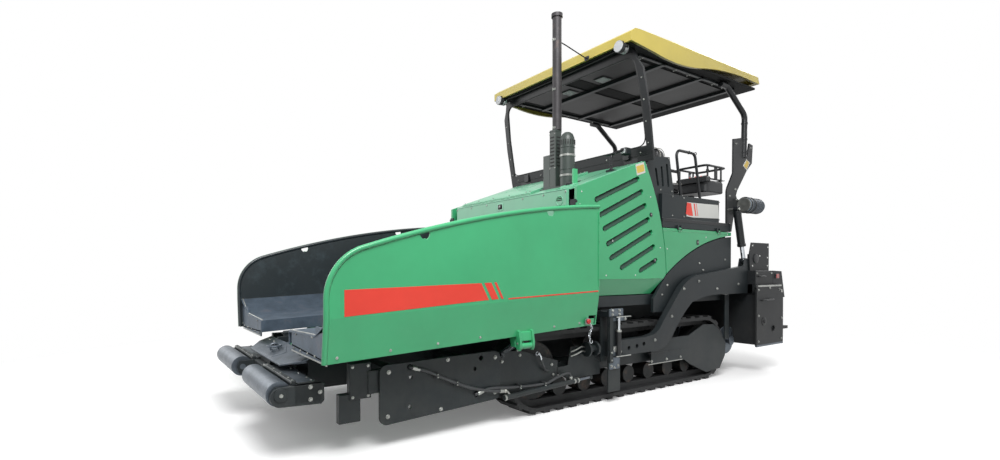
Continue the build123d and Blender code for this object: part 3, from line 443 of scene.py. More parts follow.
class Piece:
    """Plates, tubes and turned parts of several finishes, drawn in millimetres and gathered into one mesh."""

    def __init__(self):
        self.points, self.faces, self.slots, self.finishes = [], [], [], []

    def add(self, points, faces, finish):
        """One closed shell."""
        if finish not in self.finishes:
            self.finishes.append(finish)
        start = len(self.points)
        self.points += [Vector(point) for point in points]
        self.faces += [[start + index for index in face] for face in faces]
        self.slots += [self.finishes.index(finish)] * len(faces)

    def loft(self, points, count, finish, closed=False):
        """A shell over rings of so many points each, with ends unless the last ring meets the first."""
        rings = len(points) // count
        faces = [] if closed else [list(range(count)), list(range(len(points) - count, len(points)))]
        for ring in range(rings if closed else rings - 1):
            here, there = ring * count, (ring + 1) % rings * count
            for i in range(count):
                j = (i + 1) % count
                faces.append([here + i, here + j, there + j, there + i])
        self.add(points, faces, finish)

    def plate(self, outline, axis, low, high, finish, chamfer=0.0):
        """An outline seen along an axis, made thick along it, with its rims broken."""
        outline = [tuple(point) for point in outline]
        rings = [(0, low), (0, high)]
        if chamfer:
            rings = [(chamfer, low), (0, low + chamfer), (0, high - chamfer), (chamfer, high)]
        points = []
        for distance, level in rings:
            points += [raised(axis, a, b, level) for a, b in (inset(outline, distance) if distance
                else outline)]
        self.loft(points, len(outline), finish)

    def cut(self, loops, axis, low, high, finish):
        """A plate from its outline and the outlines of its openings, made thick along an axis."""
        flat = [tuple(point) for loop in loops for point in loop]
        count = len(flat)
        points = [raised(axis, a, b, level) for level in (low, high) for a, b in flat]
        thirds = tessellate_polygon([[Vector((a, b, 0)) for a, b in loop] for loop in loops])
        faces = [list(face) for face in thirds] + [[count + index for index in face] for face in thirds]
        start = 0
        for loop in loops:
            for i in range(len(loop)):
                a, b = start + i, start + (i + 1) % len(loop)
                faces.append([a, b, count + b, count + a])
            start += len(loop)
        self.add(points, faces, finish)

    def run(self, outline, y0, y1, finish, rise=0.0):
        """An outline of x and z carried along y, climbing by rise for each millimetre."""
        points = [(x, y, z + rise * (y - y0)) for y in (y0, y1) for x, z in outline]
        self.loft(points, len(outline), finish)

    def box(self, x, y, z, finish, chamfer=2.0):
        """A plate or bar between pairs of x, y and z."""
        self.plate(oblong(y, z), 0, x[0], x[1], finish, chamfer)

    def boxes(self, finish, chamfer, *spans):
        """Plates or bars of one finish, each from x0 to x1, y0 to y1 and z0 to z1."""
        for x0, x1, y0, y1, z0, z1 in spans:
            self.box((x0, x1), (y0, y1), (z0, z1), finish, chamfer)

    def pad(self, axis, across, up, thick, finish, radius, chamfer):
        """A rectangular plate with round corners, between pairs of values."""
        self.plate(rounded(oblong(across, up), radius), axis, *thick, finish, chamfer)

    def tube(self, line, radius, finish, sides=10):
        """A round bar along a line, with one radius or one for each point."""
        line = [Vector(point) for point in line]
        radii = radius if isinstance(radius, list) else [radius] * len(line)
        along = (line[1] - line[0]).normalized()
        across = along.orthogonal().normalized()
        if abs(along.z) < 0.95:
            across = along.cross(Vector((0, 0, 1))).normalized()
        points = []
        for i, point in enumerate(line):
            ahead = (line[min(i + 1, len(line) - 1)] - line[max(i - 1, 0)]).normalized()
            across = (across - ahead * across.dot(ahead)).normalized()
            other = ahead.cross(across)
            for j in range(sides):
                angle = math.tau * j / sides
                points.append(point + radii[i] * (math.cos(angle) * across + math.sin(angle) * other))
        self.loft(points, sides, finish)

    def hose(self, points, steps, radius, finish, sides):
        """A round bar along a soft curve through the points."""
        self.tube(smooth_line(points, steps), radius, finish, sides)

    def turned(self, origin, direction, profile, finish, sides=24):
        """A turned part: profile gives radius and place along the direction, from one end to the other."""
        direction, across, other = square_axes(direction)
        points = []
        for radius, place in profile:
            middle = Vector(origin) + direction * place
            for j in range(sides):
                angle = math.tau * (j + 0.5) / sides
                points.append(middle + radius * (math.cos(angle) * across + math.sin(angle) * other))
        self.loft(points, sides, finish)

    def ring(self, centre, direction, radius, thick, finish, sides=24, section=8):
        """A round bar bent into a closed ring."""
        direction, across, other = square_axes(direction)
        points = []
        for i in range(sides):
            angle = math.tau * i / sides
            out = math.cos(angle) * across + math.sin(angle) * other
            for j in range(section):
                turn = math.tau * j / section
                points.append(Vector(centre) + out * (radius + thick * math.cos(turn))
                    + direction * thick * math.sin(turn))
        self.loft(points, section, finish, closed=True)

    def mirror(self, keep=True):
        """The same again on the other side of the machine, or instead of this side."""
        count, flipped = len(self.points), [Vector((-p.x, p.y, p.z)) for p in self.points]
        if keep:
            self.points += flipped
            self.faces += [[count + index for index in face] for face in self.faces]
            self.slots += list(self.slots)
        else:
            self.points = flipped
        return self

    def finish(self, name, body="chassis"):
        """Make the object, with its faces outward, and let it ride on a body."""
        mesh = bpy.data.meshes.new(name)
        mesh.from_pydata([point / 1000 for point in self.points], [], self.faces)
        for finish in self.finishes:
            mesh.materials.append(FINISHES[finish])
        mesh.polygons.foreach_set("material_index", self.slots)
        shell = bmesh.new()
        shell.from_mesh(mesh)
        bmesh.ops.recalc_face_normals(shell, faces=shell.faces)
        shell.to_mesh(mesh)
        shell.free()
        mesh.shade_smooth()
        mesh.set_sharp_from_angle(angle=math.radians(32))
        piece = bpy.data.objects.new(name, mesh)
        bpy.context.scene.collection.objects.link(piece)
        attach(piece, body)
        return piece

    def pair(self, name, body):
        """Make the piece for a left body and its mirror image for the right one."""
        left = self.finish(f"{name}_left", f"{body}_left")
        return left, self.mirror(keep=False).finish(f"{name}_right", f"{body}_right")


def bolt(body, finish, aim, *spots, size=12.0):
    """Puts bolt heads of a half width on a body's list, at spots in millimetres, facing along aim."""
    BOLTS.setdefault((body, finish), []).extend((Vector(spot), Vector(aim).normalized(), size)
        for spot in spots)


def both_bolts(body, finish, aim, *spots, size=12.0):
    """The same bolt heads on both sides of the machine."""
    bolt(body, finish, aim, *spots, size=size)
    bolt(body, finish, (-aim[0], aim[1], aim[2]), *[(-x, y, z) for x, y, z in spots], size=size)


def side_bolts(x, size, spots, body="chassis", finish="zinc"):
    """Bolt heads that face outward on both sides of the machine, at pairs of y and z."""
    both_bolts(body, finish, LEFT, *[(x, y, z) for y, z in spots], size=size)


def pair_bolts(body, finish, aim, size, spots):
    """Bolt heads on a left body, and their mirror image on the right one."""
    bolt(f"{body}_left", finish, aim, *spots, size=size)
    bolt(f"{body}_right", finish, (-aim[0], aim[1], aim[2]), *[(-x, y, z) for x, y, z in spots], size=size)


def point_mesh(name, spots):
    """Loose points in metres with an aim and a size each, for a node tree to set things on."""
    mesh = bpy.data.meshes.new(name)
    mesh.from_pydata([spot / 1000 for spot, _, _ in spots], [], [])
    mesh.attributes.new("aim", "FLOAT_VECTOR", "POINT")
    mesh.attributes.new("size", "FLOAT", "POINT")
    mesh.attributes["aim"].data.foreach_set("vector", [part for _, aim, _ in spots for part in aim])
    mesh.attributes["size"].data.foreach_set("value", [size / 1000 for _, _, size in spots])
    return mesh


def repeat_tree(name, shape, inputs):
    """A geometry node tree that sets a shape on each point, turned along its aim and scaled by its size."""
    tree = bpy.data.node_groups.new(name, "GeometryNodeTree")
    tree.interface.new_socket("Geometry", in_out="INPUT", socket_type="NodeSocketGeometry")
    for label, kind, value in inputs:
        tree.interface.new_socket(label, in_out="INPUT", socket_type=kind).default_value = value
    tree.interface.new_socket("Finish", in_out="INPUT", socket_type="NodeSocketMaterial")
    tree.interface.new_socket("Seed", in_out="INPUT", socket_type="NodeSocketInt").default_value = 7
    tree.interface.new_socket("Geometry", in_out="OUTPUT", socket_type="NodeSocketGeometry")
    entry = add_node(tree, "NodeGroupInput").outputs
    aim = add_node(tree, "GeometryNodeInputNamedAttribute", {"Name": "aim"}, data_type="FLOAT_VECTOR")
    size = add_node(tree, "GeometryNodeInputNamedAttribute", {"Name": "size"}, data_type="FLOAT")
    face = add_node(tree, "FunctionNodeAlignRotationToVector", {"Vector": aim.outputs["Attribute"]},
        axis="Z")
    # each head is turned by up to a sixth of a turn about its own axis
    spin = add_node(tree, "FunctionNodeRandomValue", {"Seed": entry["Seed"], 2: 0.0, 3: 1.05},
        data_type="FLOAT")
    about = add_node(tree, "FunctionNodeAxisAngleToRotation", {"Angle": spin.outputs[1]})
    both = add_node(tree, "FunctionNodeRotateRotation", {"Rotation": face.outputs["Rotation"],
        "Rotate By": about.outputs["Rotation"]}, rotation_space="LOCAL")
    place = add_node(tree, "GeometryNodeInstanceOnPoints", {"Points": entry["Geometry"],
        "Instance": shape(tree, entry), "Rotation": both.outputs["Rotation"],
        "Scale": size.outputs["Attribute"]})
    real = add_node(tree, "GeometryNodeRealizeInstances", {"Geometry": place.outputs["Instances"]})
    paint = add_node(tree, "GeometryNodeSetMaterial", {"Geometry": real.outputs["Geometry"],
        "Material": entry["Finish"]})
    add_node(tree, "NodeGroupOutput", {"Geometry": paint.outputs["Geometry"]})
    return tree


def lifted(tree, mesh, **change):
    """A form moved or scaled by a Transform node."""
    values = {"Geometry": mesh, **{label.capitalize(): value for label, value in change.items()}}
    return add_node(tree, "GeometryNodeTransform", values).outputs["Geometry"]


def bolt_shape(tree, entry):
    """A washer, a head with flats and its chamfered top, of unit scale."""
    washer = add_node(tree, "GeometryNodeMeshCylinder", {"Vertices": 14, "Radius": 1.35, "Depth": 0.3})
    head = add_node(tree, "GeometryNodeMeshCylinder", {"Vertices": entry["Sides"], "Radius": 1.0,
        "Depth": 0.7})
    top = add_node(tree, "GeometryNodeMeshCone", {"Vertices": entry["Sides"], "Radius Top": 0.82,
        "Radius Bottom": 1.0, "Depth": 0.15})
    join = add_node(tree, "GeometryNodeJoinGeometry")
    for form, lift in ((washer, 0.1), (head, 0.5), (top, 0.92)):
        tree.links.new(lifted(tree, form.outputs["Mesh"], translation=(0, 0, lift)), join.inputs[0])
    return join.outputs["Geometry"]


def rivet_shape(tree, entry):
    """A low domed head of unit scale."""
    dome = add_node(tree, "GeometryNodeMeshUVSphere", {"Segments": 12, "Rings": 6, "Radius": 1.0})
    return lifted(tree, dome.outputs["Mesh"], scale=(1, 1, 0.45))


def plain_mesh(piece):
    """What a piece's modifiers make of it, as a plain mesh."""
    bpy.context.view_layer.update()
    return bpy.data.meshes.new_from_object(piece.evaluated_get(bpy.context.evaluated_depsgraph_get()))


def grow(name, mesh, tree, body, **values):
    """Runs a node tree over a mesh, keeps what it gives as a plain mesh and lets it ride on a body."""
    piece = bpy.data.objects.new(name, mesh)
    bpy.context.scene.collection.objects.link(piece)
    modifier = piece.modifiers.new("Repeat", "NODES")
    modifier.node_group = tree
    for item in tree.interface.items_tree:
        if item.item_type == "SOCKET" and item.in_out == "INPUT" and item.name in values:
            modifier[item.identifier] = values[item.name]
    grown = plain_mesh(piece)
    piece.modifiers.remove(modifier)
    piece.data = grown
    grown.name = name
    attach(piece, body)


class PAVER_OT_finishes(bpy.types.Operator):
    """Build the finishes and give each CAD node its own"""

    bl_idname = "paver.finishes"
    bl_label = "Finishes"

    def execute(self, context):
        paints = context.scene.paver_paints
        edge_wear_group()
        dust_group()
        peel_group()
        # name, colour, roughness, edge wear, dust and clear coat
        for values in (("green_paint", paints.green, 0.33, 0.15, 0.12, 0.25), ("wing_paint", paints.green,
                0.36, 0.3, 0.08, 0.2, tone(36, 44, 47)), ("hood_paint", paints.lit_pale_green, 0.33, 0.15, 0.1,
                0.25), ("dark_paint", paints.dark, 0.45, 0.3, 0.12), ("black_paint", paints.black, 0.38,
                0.2, 0.08), ("screed_paint", paints.black, 0.5, 0.3, 0.12), ("exhaust_paint",
                tone(52, 62, 58), 0.4, 0.2, 0.1), ("canopy_paint", paints.yellow, 0.4, 0.1, 0.1, 0.1),
                ("liner_board", tone(15, 17, 18), 0.75, 0.05, 0.1), ("stripe_paint", paints.stripe, 0.38,
                0.1, 0.1), ("arm_paint", tone(30, 36, 39), 0.45, 0.1, 0.1), ("hood_edge",
                tone(135, 206, 172), 0.35, 0.1, 0.1, 0.2), ("seam_black", tone(14, 16, 17), 0.7, 0.1, 0.1),
                ("door_inside", tone(24, 62, 48), 0.6, 0.1, 0.1), ("white_rivet", tone(214, 216, 212),
                0.35, 0.1, 0.1, 0.2), ("blank_white", tone(220, 221, 216), 0.4, 0.1, 0.1, 0.1),
                ("blank_yellow", tone(222, 190, 84), 0.4, 0.1, 0.1, 0.1), ("board_gloss", tone(16, 18, 20),
                0.4, 0.1, 0.1), ("gutter_brown", tone(84, 62, 42), 0.5, 0.1, 0.1),
                ("screen_glass", tone(14, 20, 26), 0.12, 0.1, 0.1, 0.8), ("lamp_red", tone(176, 30, 28),
                0.2, 0.1, 0.1, 0.6)):
            painted(*values)
        # name, colour, roughness, rust, how metallic it is and scratches
        for values in (("worn_steel", paints.steel, 0.42, 0.25), ("track_steel", tone(44, 45, 45), 0.55,
                0.4), ("chrome", tone(190, 194, 198), 0.18, 0.0, 1.0, 0.05), ("exhaust_steel",
                tone(64, 62, 64), 0.55, 0.35, 0.5), ("engine_iron", tone(70, 72, 74), 0.6, 0.2, 0.4),
                ("tray_steel", tone(84, 98, 112), 0.5, 0.35, 0.45), ("zinc", tone(150, 152, 148), 0.38,
                0.1, 0.85, 0.15), ("bright_edge", tone(170, 172, 168), 0.4, 0.15, 0.7)):
            metal(*values)
        # the dark coats are flat ones
        for name, gloss in (("liner_board", 0.15), ("board_gloss", 0.12), ("dark_paint", 0.3),
                ("black_paint", 0.35), ("screed_paint", 0.3), ("arm_paint", 0.3)):
            shader = FINISHES[name].node_tree.nodes["Principled BSDF"]
            shader.inputs["Specular IOR Level"].default_value = gloss
        # name, colour, roughness, depth of the grain and how fine it is
        for values in (("red_plastic", tone(198, 34, 36), 0.4), ("braided_hose", tone(58, 60, 62), 0.5, 0.9,
                240), ("white_sleeve", tone(204, 204, 196), 0.5), ("seat_piping", tone(138, 137, 130),
                0.5), ("rubber", paints.rubber, 0.6), ("track_rubber", paints.rubber, 0.7),
                ("dark_plastic", tone(34, 36, 38), 0.5), ("seat_leather", tone(28, 29, 31), 0.45, 0.5,
                300)):
            moulded(*values)
        lens("lamp_glass")
        for name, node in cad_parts.items():
            finish = next((value for start, value in NODE_FINISH if name.startswith(start)), "dark_paint")
            for slot in node.material_slots:
                slot.material = FINISHES[finish]
            if not node.material_slots:
                node.data.materials.append(FINISHES[finish])
        return {"FINISHED"}


class PAVER_OT_stripes(bpy.types.Operator):
    """Lay the red stripes along the wings' outsides"""

    bl_idname = "paver.stripes"
    bl_label = "Wing stripes"

    def execute(self, context):
        lift = WING_FACE + 0.2 + context.scene.paver_sizes.stripe_thickness * 1000
        stripe = Piece()
        for outline in ([(-3061, 1072), (-3061, 1257), (-1918, 1285), (-1842, 1147)],
                [(-1888, 1286), (-1818, 1288), (-1742, 1150), (-1812, 1148)],
                [(-1788, 1289), (-1764, 1290), (-1690, 1152), (-1714, 1151)],
                [(-1640, 1143), (-545, 1181), (-545, 1193), (-1640, 1155)]):
            stripe.plate(outline, 0, WING_FACE, lift, "stripe_paint")
        stripe.pair("wing_stripes", "wing")
        return {"FINISHED"}


class PAVER_OT_wing_trim(bpy.types.Operator):
    """Add the wings' stop button, lashing chain, curb edges, hooks and bolts"""

    bl_idname = "paver.wing_trim"
    bl_label = "Wing fittings"

    def execute(self, context):
        trim = Piece()
        # stop button on its grey collar
        trim.turned((1500, -672, 905), (1, 0, -0.15), [(30, 0), (32, 4), (32, 10), (20, 12)], "zinc")
        trim.turned((1508, -672, 904), (1, 0, -0.15), [(15, 0), (15, 8), (24, 10), (25, 18), (20, 24),
            (8, 26)], "red_plastic")
        # chain from its shackle down to the hook
        spots = [(1513, -650, 884), (1512, -632, 862), (1511, -622, 838), (1509, -632, 812),
            (1507, -645, 788), (1505, -648, 762), (1503, -638, 736)]
        for index, (x, y, z) in enumerate(spots):
            aim = (1, 0.2, 0.1) if index % 2 else (0.15, 1, 0.35)
            trim.ring((x + 2, y, z), aim, 11.5, 3.4, "chrome", sides=14, section=6)
        trim.hose([(1503, -638, 728), (1502, -634, 704), (1503, -620, 690), (1503, -604, 700),
            (1503, -602, 716)], 4, 4.5, "chrome", 8)
        # wear edge along the tray's front and the end plate's lower rim
        trim.tube([(1512, -3147, 1063), (1187, -3147, 921), (512, -3147, 896)], 6, "bright_edge", 8)
        trim.box((566, 1448), (-3157.5, -3155.2), (729.5, 741), "bright_edge", 0.5)
        # stiffeners on the outside of the wall's rear edge and the lifting eye
        trim.box((1526, 1534), (-548, -534), (1230, 1940), "wing_paint", 3)
        for y, z in WING_EYES:
            trim.ring((1520, y, z - 58), LEFT, 20, 5, "wing_paint", sides=20)
        trim.pair("wing_fittings", "wing")
        # along the lower panel, just above its foot, on the end plate, the stiffener and the clevis
        pair_bolts("wing", "zinc", (1, 0, -0.15), 8, [(1484.5, y, 786 + WING_RISE * (y + 3185))
            for y in (-3100, -2700, -2300, -1900, -1080, -760)])
        pair_bolts("wing", "zinc", FRONT, 8, [(x, -3155.5, z) for x, z in ((640, 760), (820, 760),
            (1000, 762), (1180, 766), (1360, 772), (1450, 790), (700, 880), (1120, 900))])
        pair_bolts("wing", "wing_paint", LEFT, 5, [(1533, -541, z) for z in (1300, 1480, 1660, 1840)])
        for y, out in ((-1515, -1), (-1347, 1)):
            pair_bolts("wing", "zinc", (0, out, 0), 7, [(1494, y, 700), (1494, y, 760)])
        return {"FINISHED"}


class PAVER_OT_hoses(bpy.types.Operator):
    """Run the braided hoses and pipes along the frame's side, with their ends and clamps"""

    bl_idname = "paver.hoses"
    bl_label = "Hoses"

    def execute(self, context):
        hoses = Piece()
        hoses.hose([(1236, -2416, 618), (1258, -2400, 612), (1263, -2268, 570), (1263, -2080, 479),
            (1263, -1882, 393), (1262, -1674, 333), (1260, -1500, 305)], 8, 15, "braided_hose", 14)
        hoses.hose([(1236, -1784, 306), (1256, -1770, 318), (1262, -1640, 346), (1262, -1424, 327),
            (1262, -1198, 311), (1262, -1007, 306), (1262, -955, 308), (1264, -833, 348),
            (1268, -705, 374), (1272, -662, 352), (1272, -655, 314)], 8, 13, "braided_hose", 14)
        # crimped end sleeves and hexagon nuts
        for start, end in (((1258, -2402, 613), (1262, -2340, 592)), ((1261, -1530, 310),
                (1259, -1462, 299)), ((1257, -1768, 319), (1261, -1712, 333)),
                ((1272, -659, 340), (1272, -655, 312))):
            start, end = Vector(start), Vector(end)
            run = end - start
            hoses.turned(start, run, [(17, 0), (19, 4), (19, run.length * 0.6), (16, run.length * 0.62),
                (16, run.length)], "zinc", 16)
        hoses.turned((1259, -1480, 302), (-0.2, 1, -0.1), [(20, 0), (22, 3), (22, 18), (20, 21)],
            "white_sleeve", 6)
        hoses.hose([(1258, -1462, 299), (1256, -1440, 290), (1262, -1424, 268), (1270, -1420, 262)], 4, 11,
            "zinc", 10)
        # clamp blocks on their studs
        for y, z in ((-995, 305), (-2180, 524), (-1990, 438), (-1300, 318)):
            hoses.box((1241 if y < -1511 else 1216, 1252), (y - 16, y + 16), (z - 22, z + 22),
                "dark_plastic", 3)
            hoses.box((1252, 1281), (y - 14, y + 14), (z - 20, z + 20), "dark_plastic", 4)
        # fitting on the panel behind, with its elbow
        hoses.turned((1216, -1057, 596), LEFT, [(20, 0), (20, 12), (14, 13), (14, 40), (10, 42)], "chrome",
            6)
        hoses.hose([(1250, -1057, 596), (1262, -1054, 590), (1266, -1044, 566), (1264, -1036, 540)], 4, 9,
            "chrome", 10)
        hoses.hose([(1264, -1036, 545), (1262, -1010, 480), (1240, -960, 430), (1216, -900, 420)], 6, 10,
            "braided_hose", 10)
        # glands of the slim cylinder
        for y, z in ((-1486, 243.3), (-620, 288), (-572, 290.3)):
            hoses.turned((1272, y, z), (0, 1, 0.0516), [(25, 0), (28, 3), (28, 16), (25, 19)], "zinc", 20)
        # return pipes from the spool
        for z, x in ((610, 1262), (566, 1266)):
            hoses.hose([(x, -448, z), (x, -500, z + 6), (x - 18, -560, z - 20), (1216, -600, z - 40)], 6, 8,
                "zinc", 10)
        hoses.mirror().finish("side_hoses")
        side_bolts(1241, 13, ((-2610, 250), (-2600, 596), (-2060, 640), (-1570, 300), (-1565, 612),
            (-2130, 236)))
        side_bolts(1216.5, 11, ((-1470, 560), (-860, 470), (-840, 370), (-1260, 600)))
        both_bolts("chassis", "zinc", LEFT, *[(1281, y, z + dz) for y, z in ((-995, 305), (-2180, 524),
            (-1990, 438), (-1300, 318)) for dz in (-11, 11)], size=4.5)
        side_bolts(1204, 9, ((-2880, 430), (-2880, 660), (-2755, 430), (-2755, 660)))
        return {"FINISHED"}


class PAVER_OT_push_bar_trim(bpy.types.Operator):
    """Dress the push beam, its rollers and the front apron"""

    bl_idname = "paver.push_bar"
    bl_label = "Push beam fittings"

    def execute(self, context):
        trim = Piece()
        # bright wear strips on the cover plates' edges and the scraper bars
        for x0, x1 in ((232, 1102), (-1102, -232)):
            trim.box((x0, x1), (-3307, -3304.6), (572, 589), "bright_edge", 0.5)
            trim.box((x0 + 20, x1 - 20), (-3258, -3134), (569.7, 572), "worn_steel", 1)
        # cover caps over the roller ends
        for sign, side in SIDES:
            trim.turned((sign * 1128, *ROLLER), (sign, 0, 0), [(46, 21), (48, 24), (48, 30), (40, 34),
                (18, 35)], "dark_paint", 28)
            trim.turned((sign * 1150, *ROLLER), (sign, 0, 0), [(15, 8), (15, 18), (10, 20)], "zinc", 6)
            bands = Piece()
            for x, radius, thick in ((700, 88.8, 1.1), (262, 88.2, 1.7), (1078, 88.2, 1.7)):
                bands.ring((sign * x, *ROLLER), LEFT, radius, thick, "track_steel", 48, 6)
            bands.finish(f"push_roller_bands_{side}", f"push_roller_{side}")
        trim.finish("push_beam_fittings", "push_beam")
        for sign in (1, -1):
            for x in (300, 520, 740, 960, 1070):
                bolt("push_beam", "zinc", UP, (sign * x, -3288, 588), size=7)
                bolt("push_beam", "zinc", UP, (sign * x, -3150, 570), size=8)
            for y, z in ((-3180, 450), (-3180, 540), (-3110, 495)):
                bolt("push_beam", "zinc", (sign, 0, 0), (sign * 1150, y, z), size=12)
        ring = Piece()
        # rings round the towing eye on the apron
        ring.ring((0, -3160, 703), UP, 62, 9, "worn_steel", 40, 10)
        ring.ring((0, -3160, 704), UP, 24, 5, "track_steel", 28, 8)
        ring.finish("apron_ring")
        bolt("chassis", "zinc", (0, -0.3, 1), *[(x, -3080, 697) for x in (-520, -340, 340, 520)], size=9)
        return {"FINISHED"}


class PAVER_OT_tow_guide_trim(bpy.types.Operator):
    """Add the tow guides' brackets, levelling cylinders, pins and screws"""

    bl_idname = "paver.tow_guides"
    bl_label = "Tow guide fittings"

    def execute(self, context):
        trim = Piece()
        face = 1312
        trim.box((face, face + 20), (-150, -96), (420, 900), "dark_paint", 4)
        trim.box((face, face + 14), (-20, 24), (500, 890), "dark_paint", 3)
        # upper and lower brackets with their worn rims
        for z0, z1, y0, y1 in ((905, 985, -155, 60), (494, 560, -150, 30), (855, 895, -120, 110)):
            trim.pad(0, (y0, y1), (z0, z1), (face, face + 16), "worn_steel", 14, 2)
        trim.plate(rounded([(-150, 355), (10, 355), (10, 470), (-150, 484)], 16), 0, face, face + 12,
            "worn_steel", 2)
        trim.boxes("bright_edge", 0.5, (face + 46, face + 49, -84, 146, 484, 494),
            (face + 46, face + 49, -84, 146, 895, 905))
        # the levelling cylinder between the brackets, with its rod
        trim.turned((face + 34, -34, 500), UP, [(24, 0), (26, 4), (26, 250), (24, 254)], "black_paint", 24)
        trim.turned((face + 34, -34, 752), UP, [(15, 0), (15, 142)], "chrome", 20)
        trim.turned((face + 34, -34, 742), UP, [(28, 0), (30, 4), (30, 20), (27, 24)], "zinc", 20)
        # pin end with its keeper
        trim.turned((1316, -60, 562), LEFT, [(31, 0), (31, 12), (27, 16)], "bright_edge", 28)
        trim.box((1320, 1330), (-108, -14), (575, 592), "zinc", 2)
        trim.mirror().finish("tow_guide_fittings")
        side_bolts(face + 16, 12, ((-2, 925), (-110, 925), (-2, 965), (-110, 968), (-124, 530), (14, 530),
            (90, 872)))
        side_bolts(face + 12, 11, ((-121, 390), (-78, 370), (-20, 390), (-120, 450)))
        return {"FINISHED"}


class PAVER_OT_guard_trim(bpy.types.Operator):
    """Bolt down the drive guards and add their edge strips"""

    bl_idname = "paver.guards"
    bl_label = "Drive guard fittings"

    def execute(self, context):
        trim = Piece()
        trim.box((1208, 1211), (640, 1290), (303, 312), "bright_edge", 0.5)
        trim.box((1208, 1210.5), (640, 1300), (428, 434), "black_paint", 0.5)
        trim.mirror().finish("drive_guard_fittings")
        side_bolts(1208, 12, ((700, 340), (980, 340), (1250, 340)))
        return {"FINISHED"}


def hood_top(y):
    """Height of the engine cover's sloping top at y."""
    return 2235 + 0.35386 * (y + 498)


class PAVER_OT_hood_trim(bpy.types.Operator):
    """Add the engine cover's seams, edges, latch, filler, post fittings and vents"""

    bl_idname = "paver.hood"
    bl_label = "Engine cover fittings"

    def execute(self, context):
        trim = Piece()
        # pale folded edge along the cover's front and the raised lid: a paler green, painted highlight along
        # the lit edges
        trim.tube([(-1040, -497, 2231), (1040, -497, 2231)], 5, "hood_edge", 8)
        trim.tube([(-1010, -430, hood_top(-430) + 16), (400, -430, hood_top(-430) + 16)], 4, "hood_edge", 8)
        trim.tube([(400, -420, hood_top(-420) + 24), (400, 510, hood_top(510) + 24)], 3.5, "hood_edge", 8)
        trim.tube([(1157, -385, hood_top(-385) + 1), (1157, 585, hood_top(585) + 1)], 4, "hood_edge", 8)
        # dark seams between the lid, the front panel and the sides
        for x0, x1, y0, y1 in ((-1024, -1012, -440, 530), (404, 412, -440, 530), (-1012, 404, -444, -434),
                (-1012, 404, 524, 534), (860, 866, -470, 560)):
            trim.add([(x, y, hood_top(y) + h) for h in (-1, 1.2) for x, y in oblong((x0, x1), (y0, y1))],
                BLOCK, "seam_black")
        # filler cap and breather on the small lid
        trim.turned((970, -380, hood_top(-380) + 18), HOOD_SLOPE, [(30, 0), (34, 3), (34, 20), (28, 26),
            (10, 28)], "dark_plastic", 28)
        for step in range(12):
            turn = math.tau * step / 12
            trim.turned((970 + 33 * math.cos(turn), -380 + 31 * math.sin(turn),
                hood_top(-380) + 20 + 11 * math.sin(turn)), HOOD_SLOPE, [(3, 0), (3.4, 2), (3.4, 16),
                (2.6, 18)], "dark_plastic", 8)
        # latch handle on the front wall, its pale plate in the same painted highlight green
        trim.pad(1, (-128, -16), (2112, 2200), (-503, -498), "hood_edge", 12, 1.5)
        trim.pad(1, (-112, -32), (2128, 2186), (-505, -502), "seam_black", 10, 1)
        trim.turned((-72, -503, 2157), FRONT, [(16, 0), (18, 3), (18, 9), (14, 12), (6, 13)], "zinc", 24)
        trim.box((-100, -44), (-513, -507), (2150, 2164), "dark_plastic", 3)
        # rim of the round intake, in the pale green of a painted highlight
        trim.ring((948, -499, 2120), REAR, 49, 3.5, "hood_edge", 40, 8)
        # foot flange and clamp of the bent post
        for z in (hood_top(250) + 16, 2420, 2560):
            trim.turned((1000, 250, z), UP, [(17, 0), (20, 3), (20, 14), (17, 17)], "dark_plastic", 20)
        trim.hose([(1018, 246, hood_top(250) + 20), (1022, 242, 2440), (1020, 246, 2600), (1024, 262, 2690),
            (1014, 330, 2732), (1012, 430, 2762)], 6, 5, "rubber", 8)
        trim.pad(1, (958, 1042), (2718, 2787), (450, 455.2), "dark_plastic", 14, 2)
        trim.pad(1, (968, 1032), (2728, 2777), (448.5, 450.2), "lamp_glass", 8, 0.5)
        # rows of low vents on the sloping top
        for x in (-760, -540, -320):
            for k in range(5):
                y = -20 + k * 42
                z = hood_top(y) + 25
                trim.add([(x, y, z), (x + 180, y, z), (x + 180, y + 26, z + 9.2), (x, y + 26, z + 9.2),
                    (x, y, z + 2), (x + 180, y, z + 2), (x + 180, y + 24, z + 17), (x, y + 24, z + 17)],
                    BLOCK, "hood_paint")
        trim.finish("hood_fittings")
        bolt("chassis", "zinc", HOOD_SLOPE, *[(x, y, hood_top(y) + 26)
            for x in (-980, -660, -340, -20, 300, 370) for y in (-405, 495)], size=8)
        bolt("chassis", "zinc", FRONT, *[(x, -498, z) for x in (-1040, -700, -350, 350, 700, 1040)
            for z in (1930, 2205)], size=8)
        return {"FINISHED"}


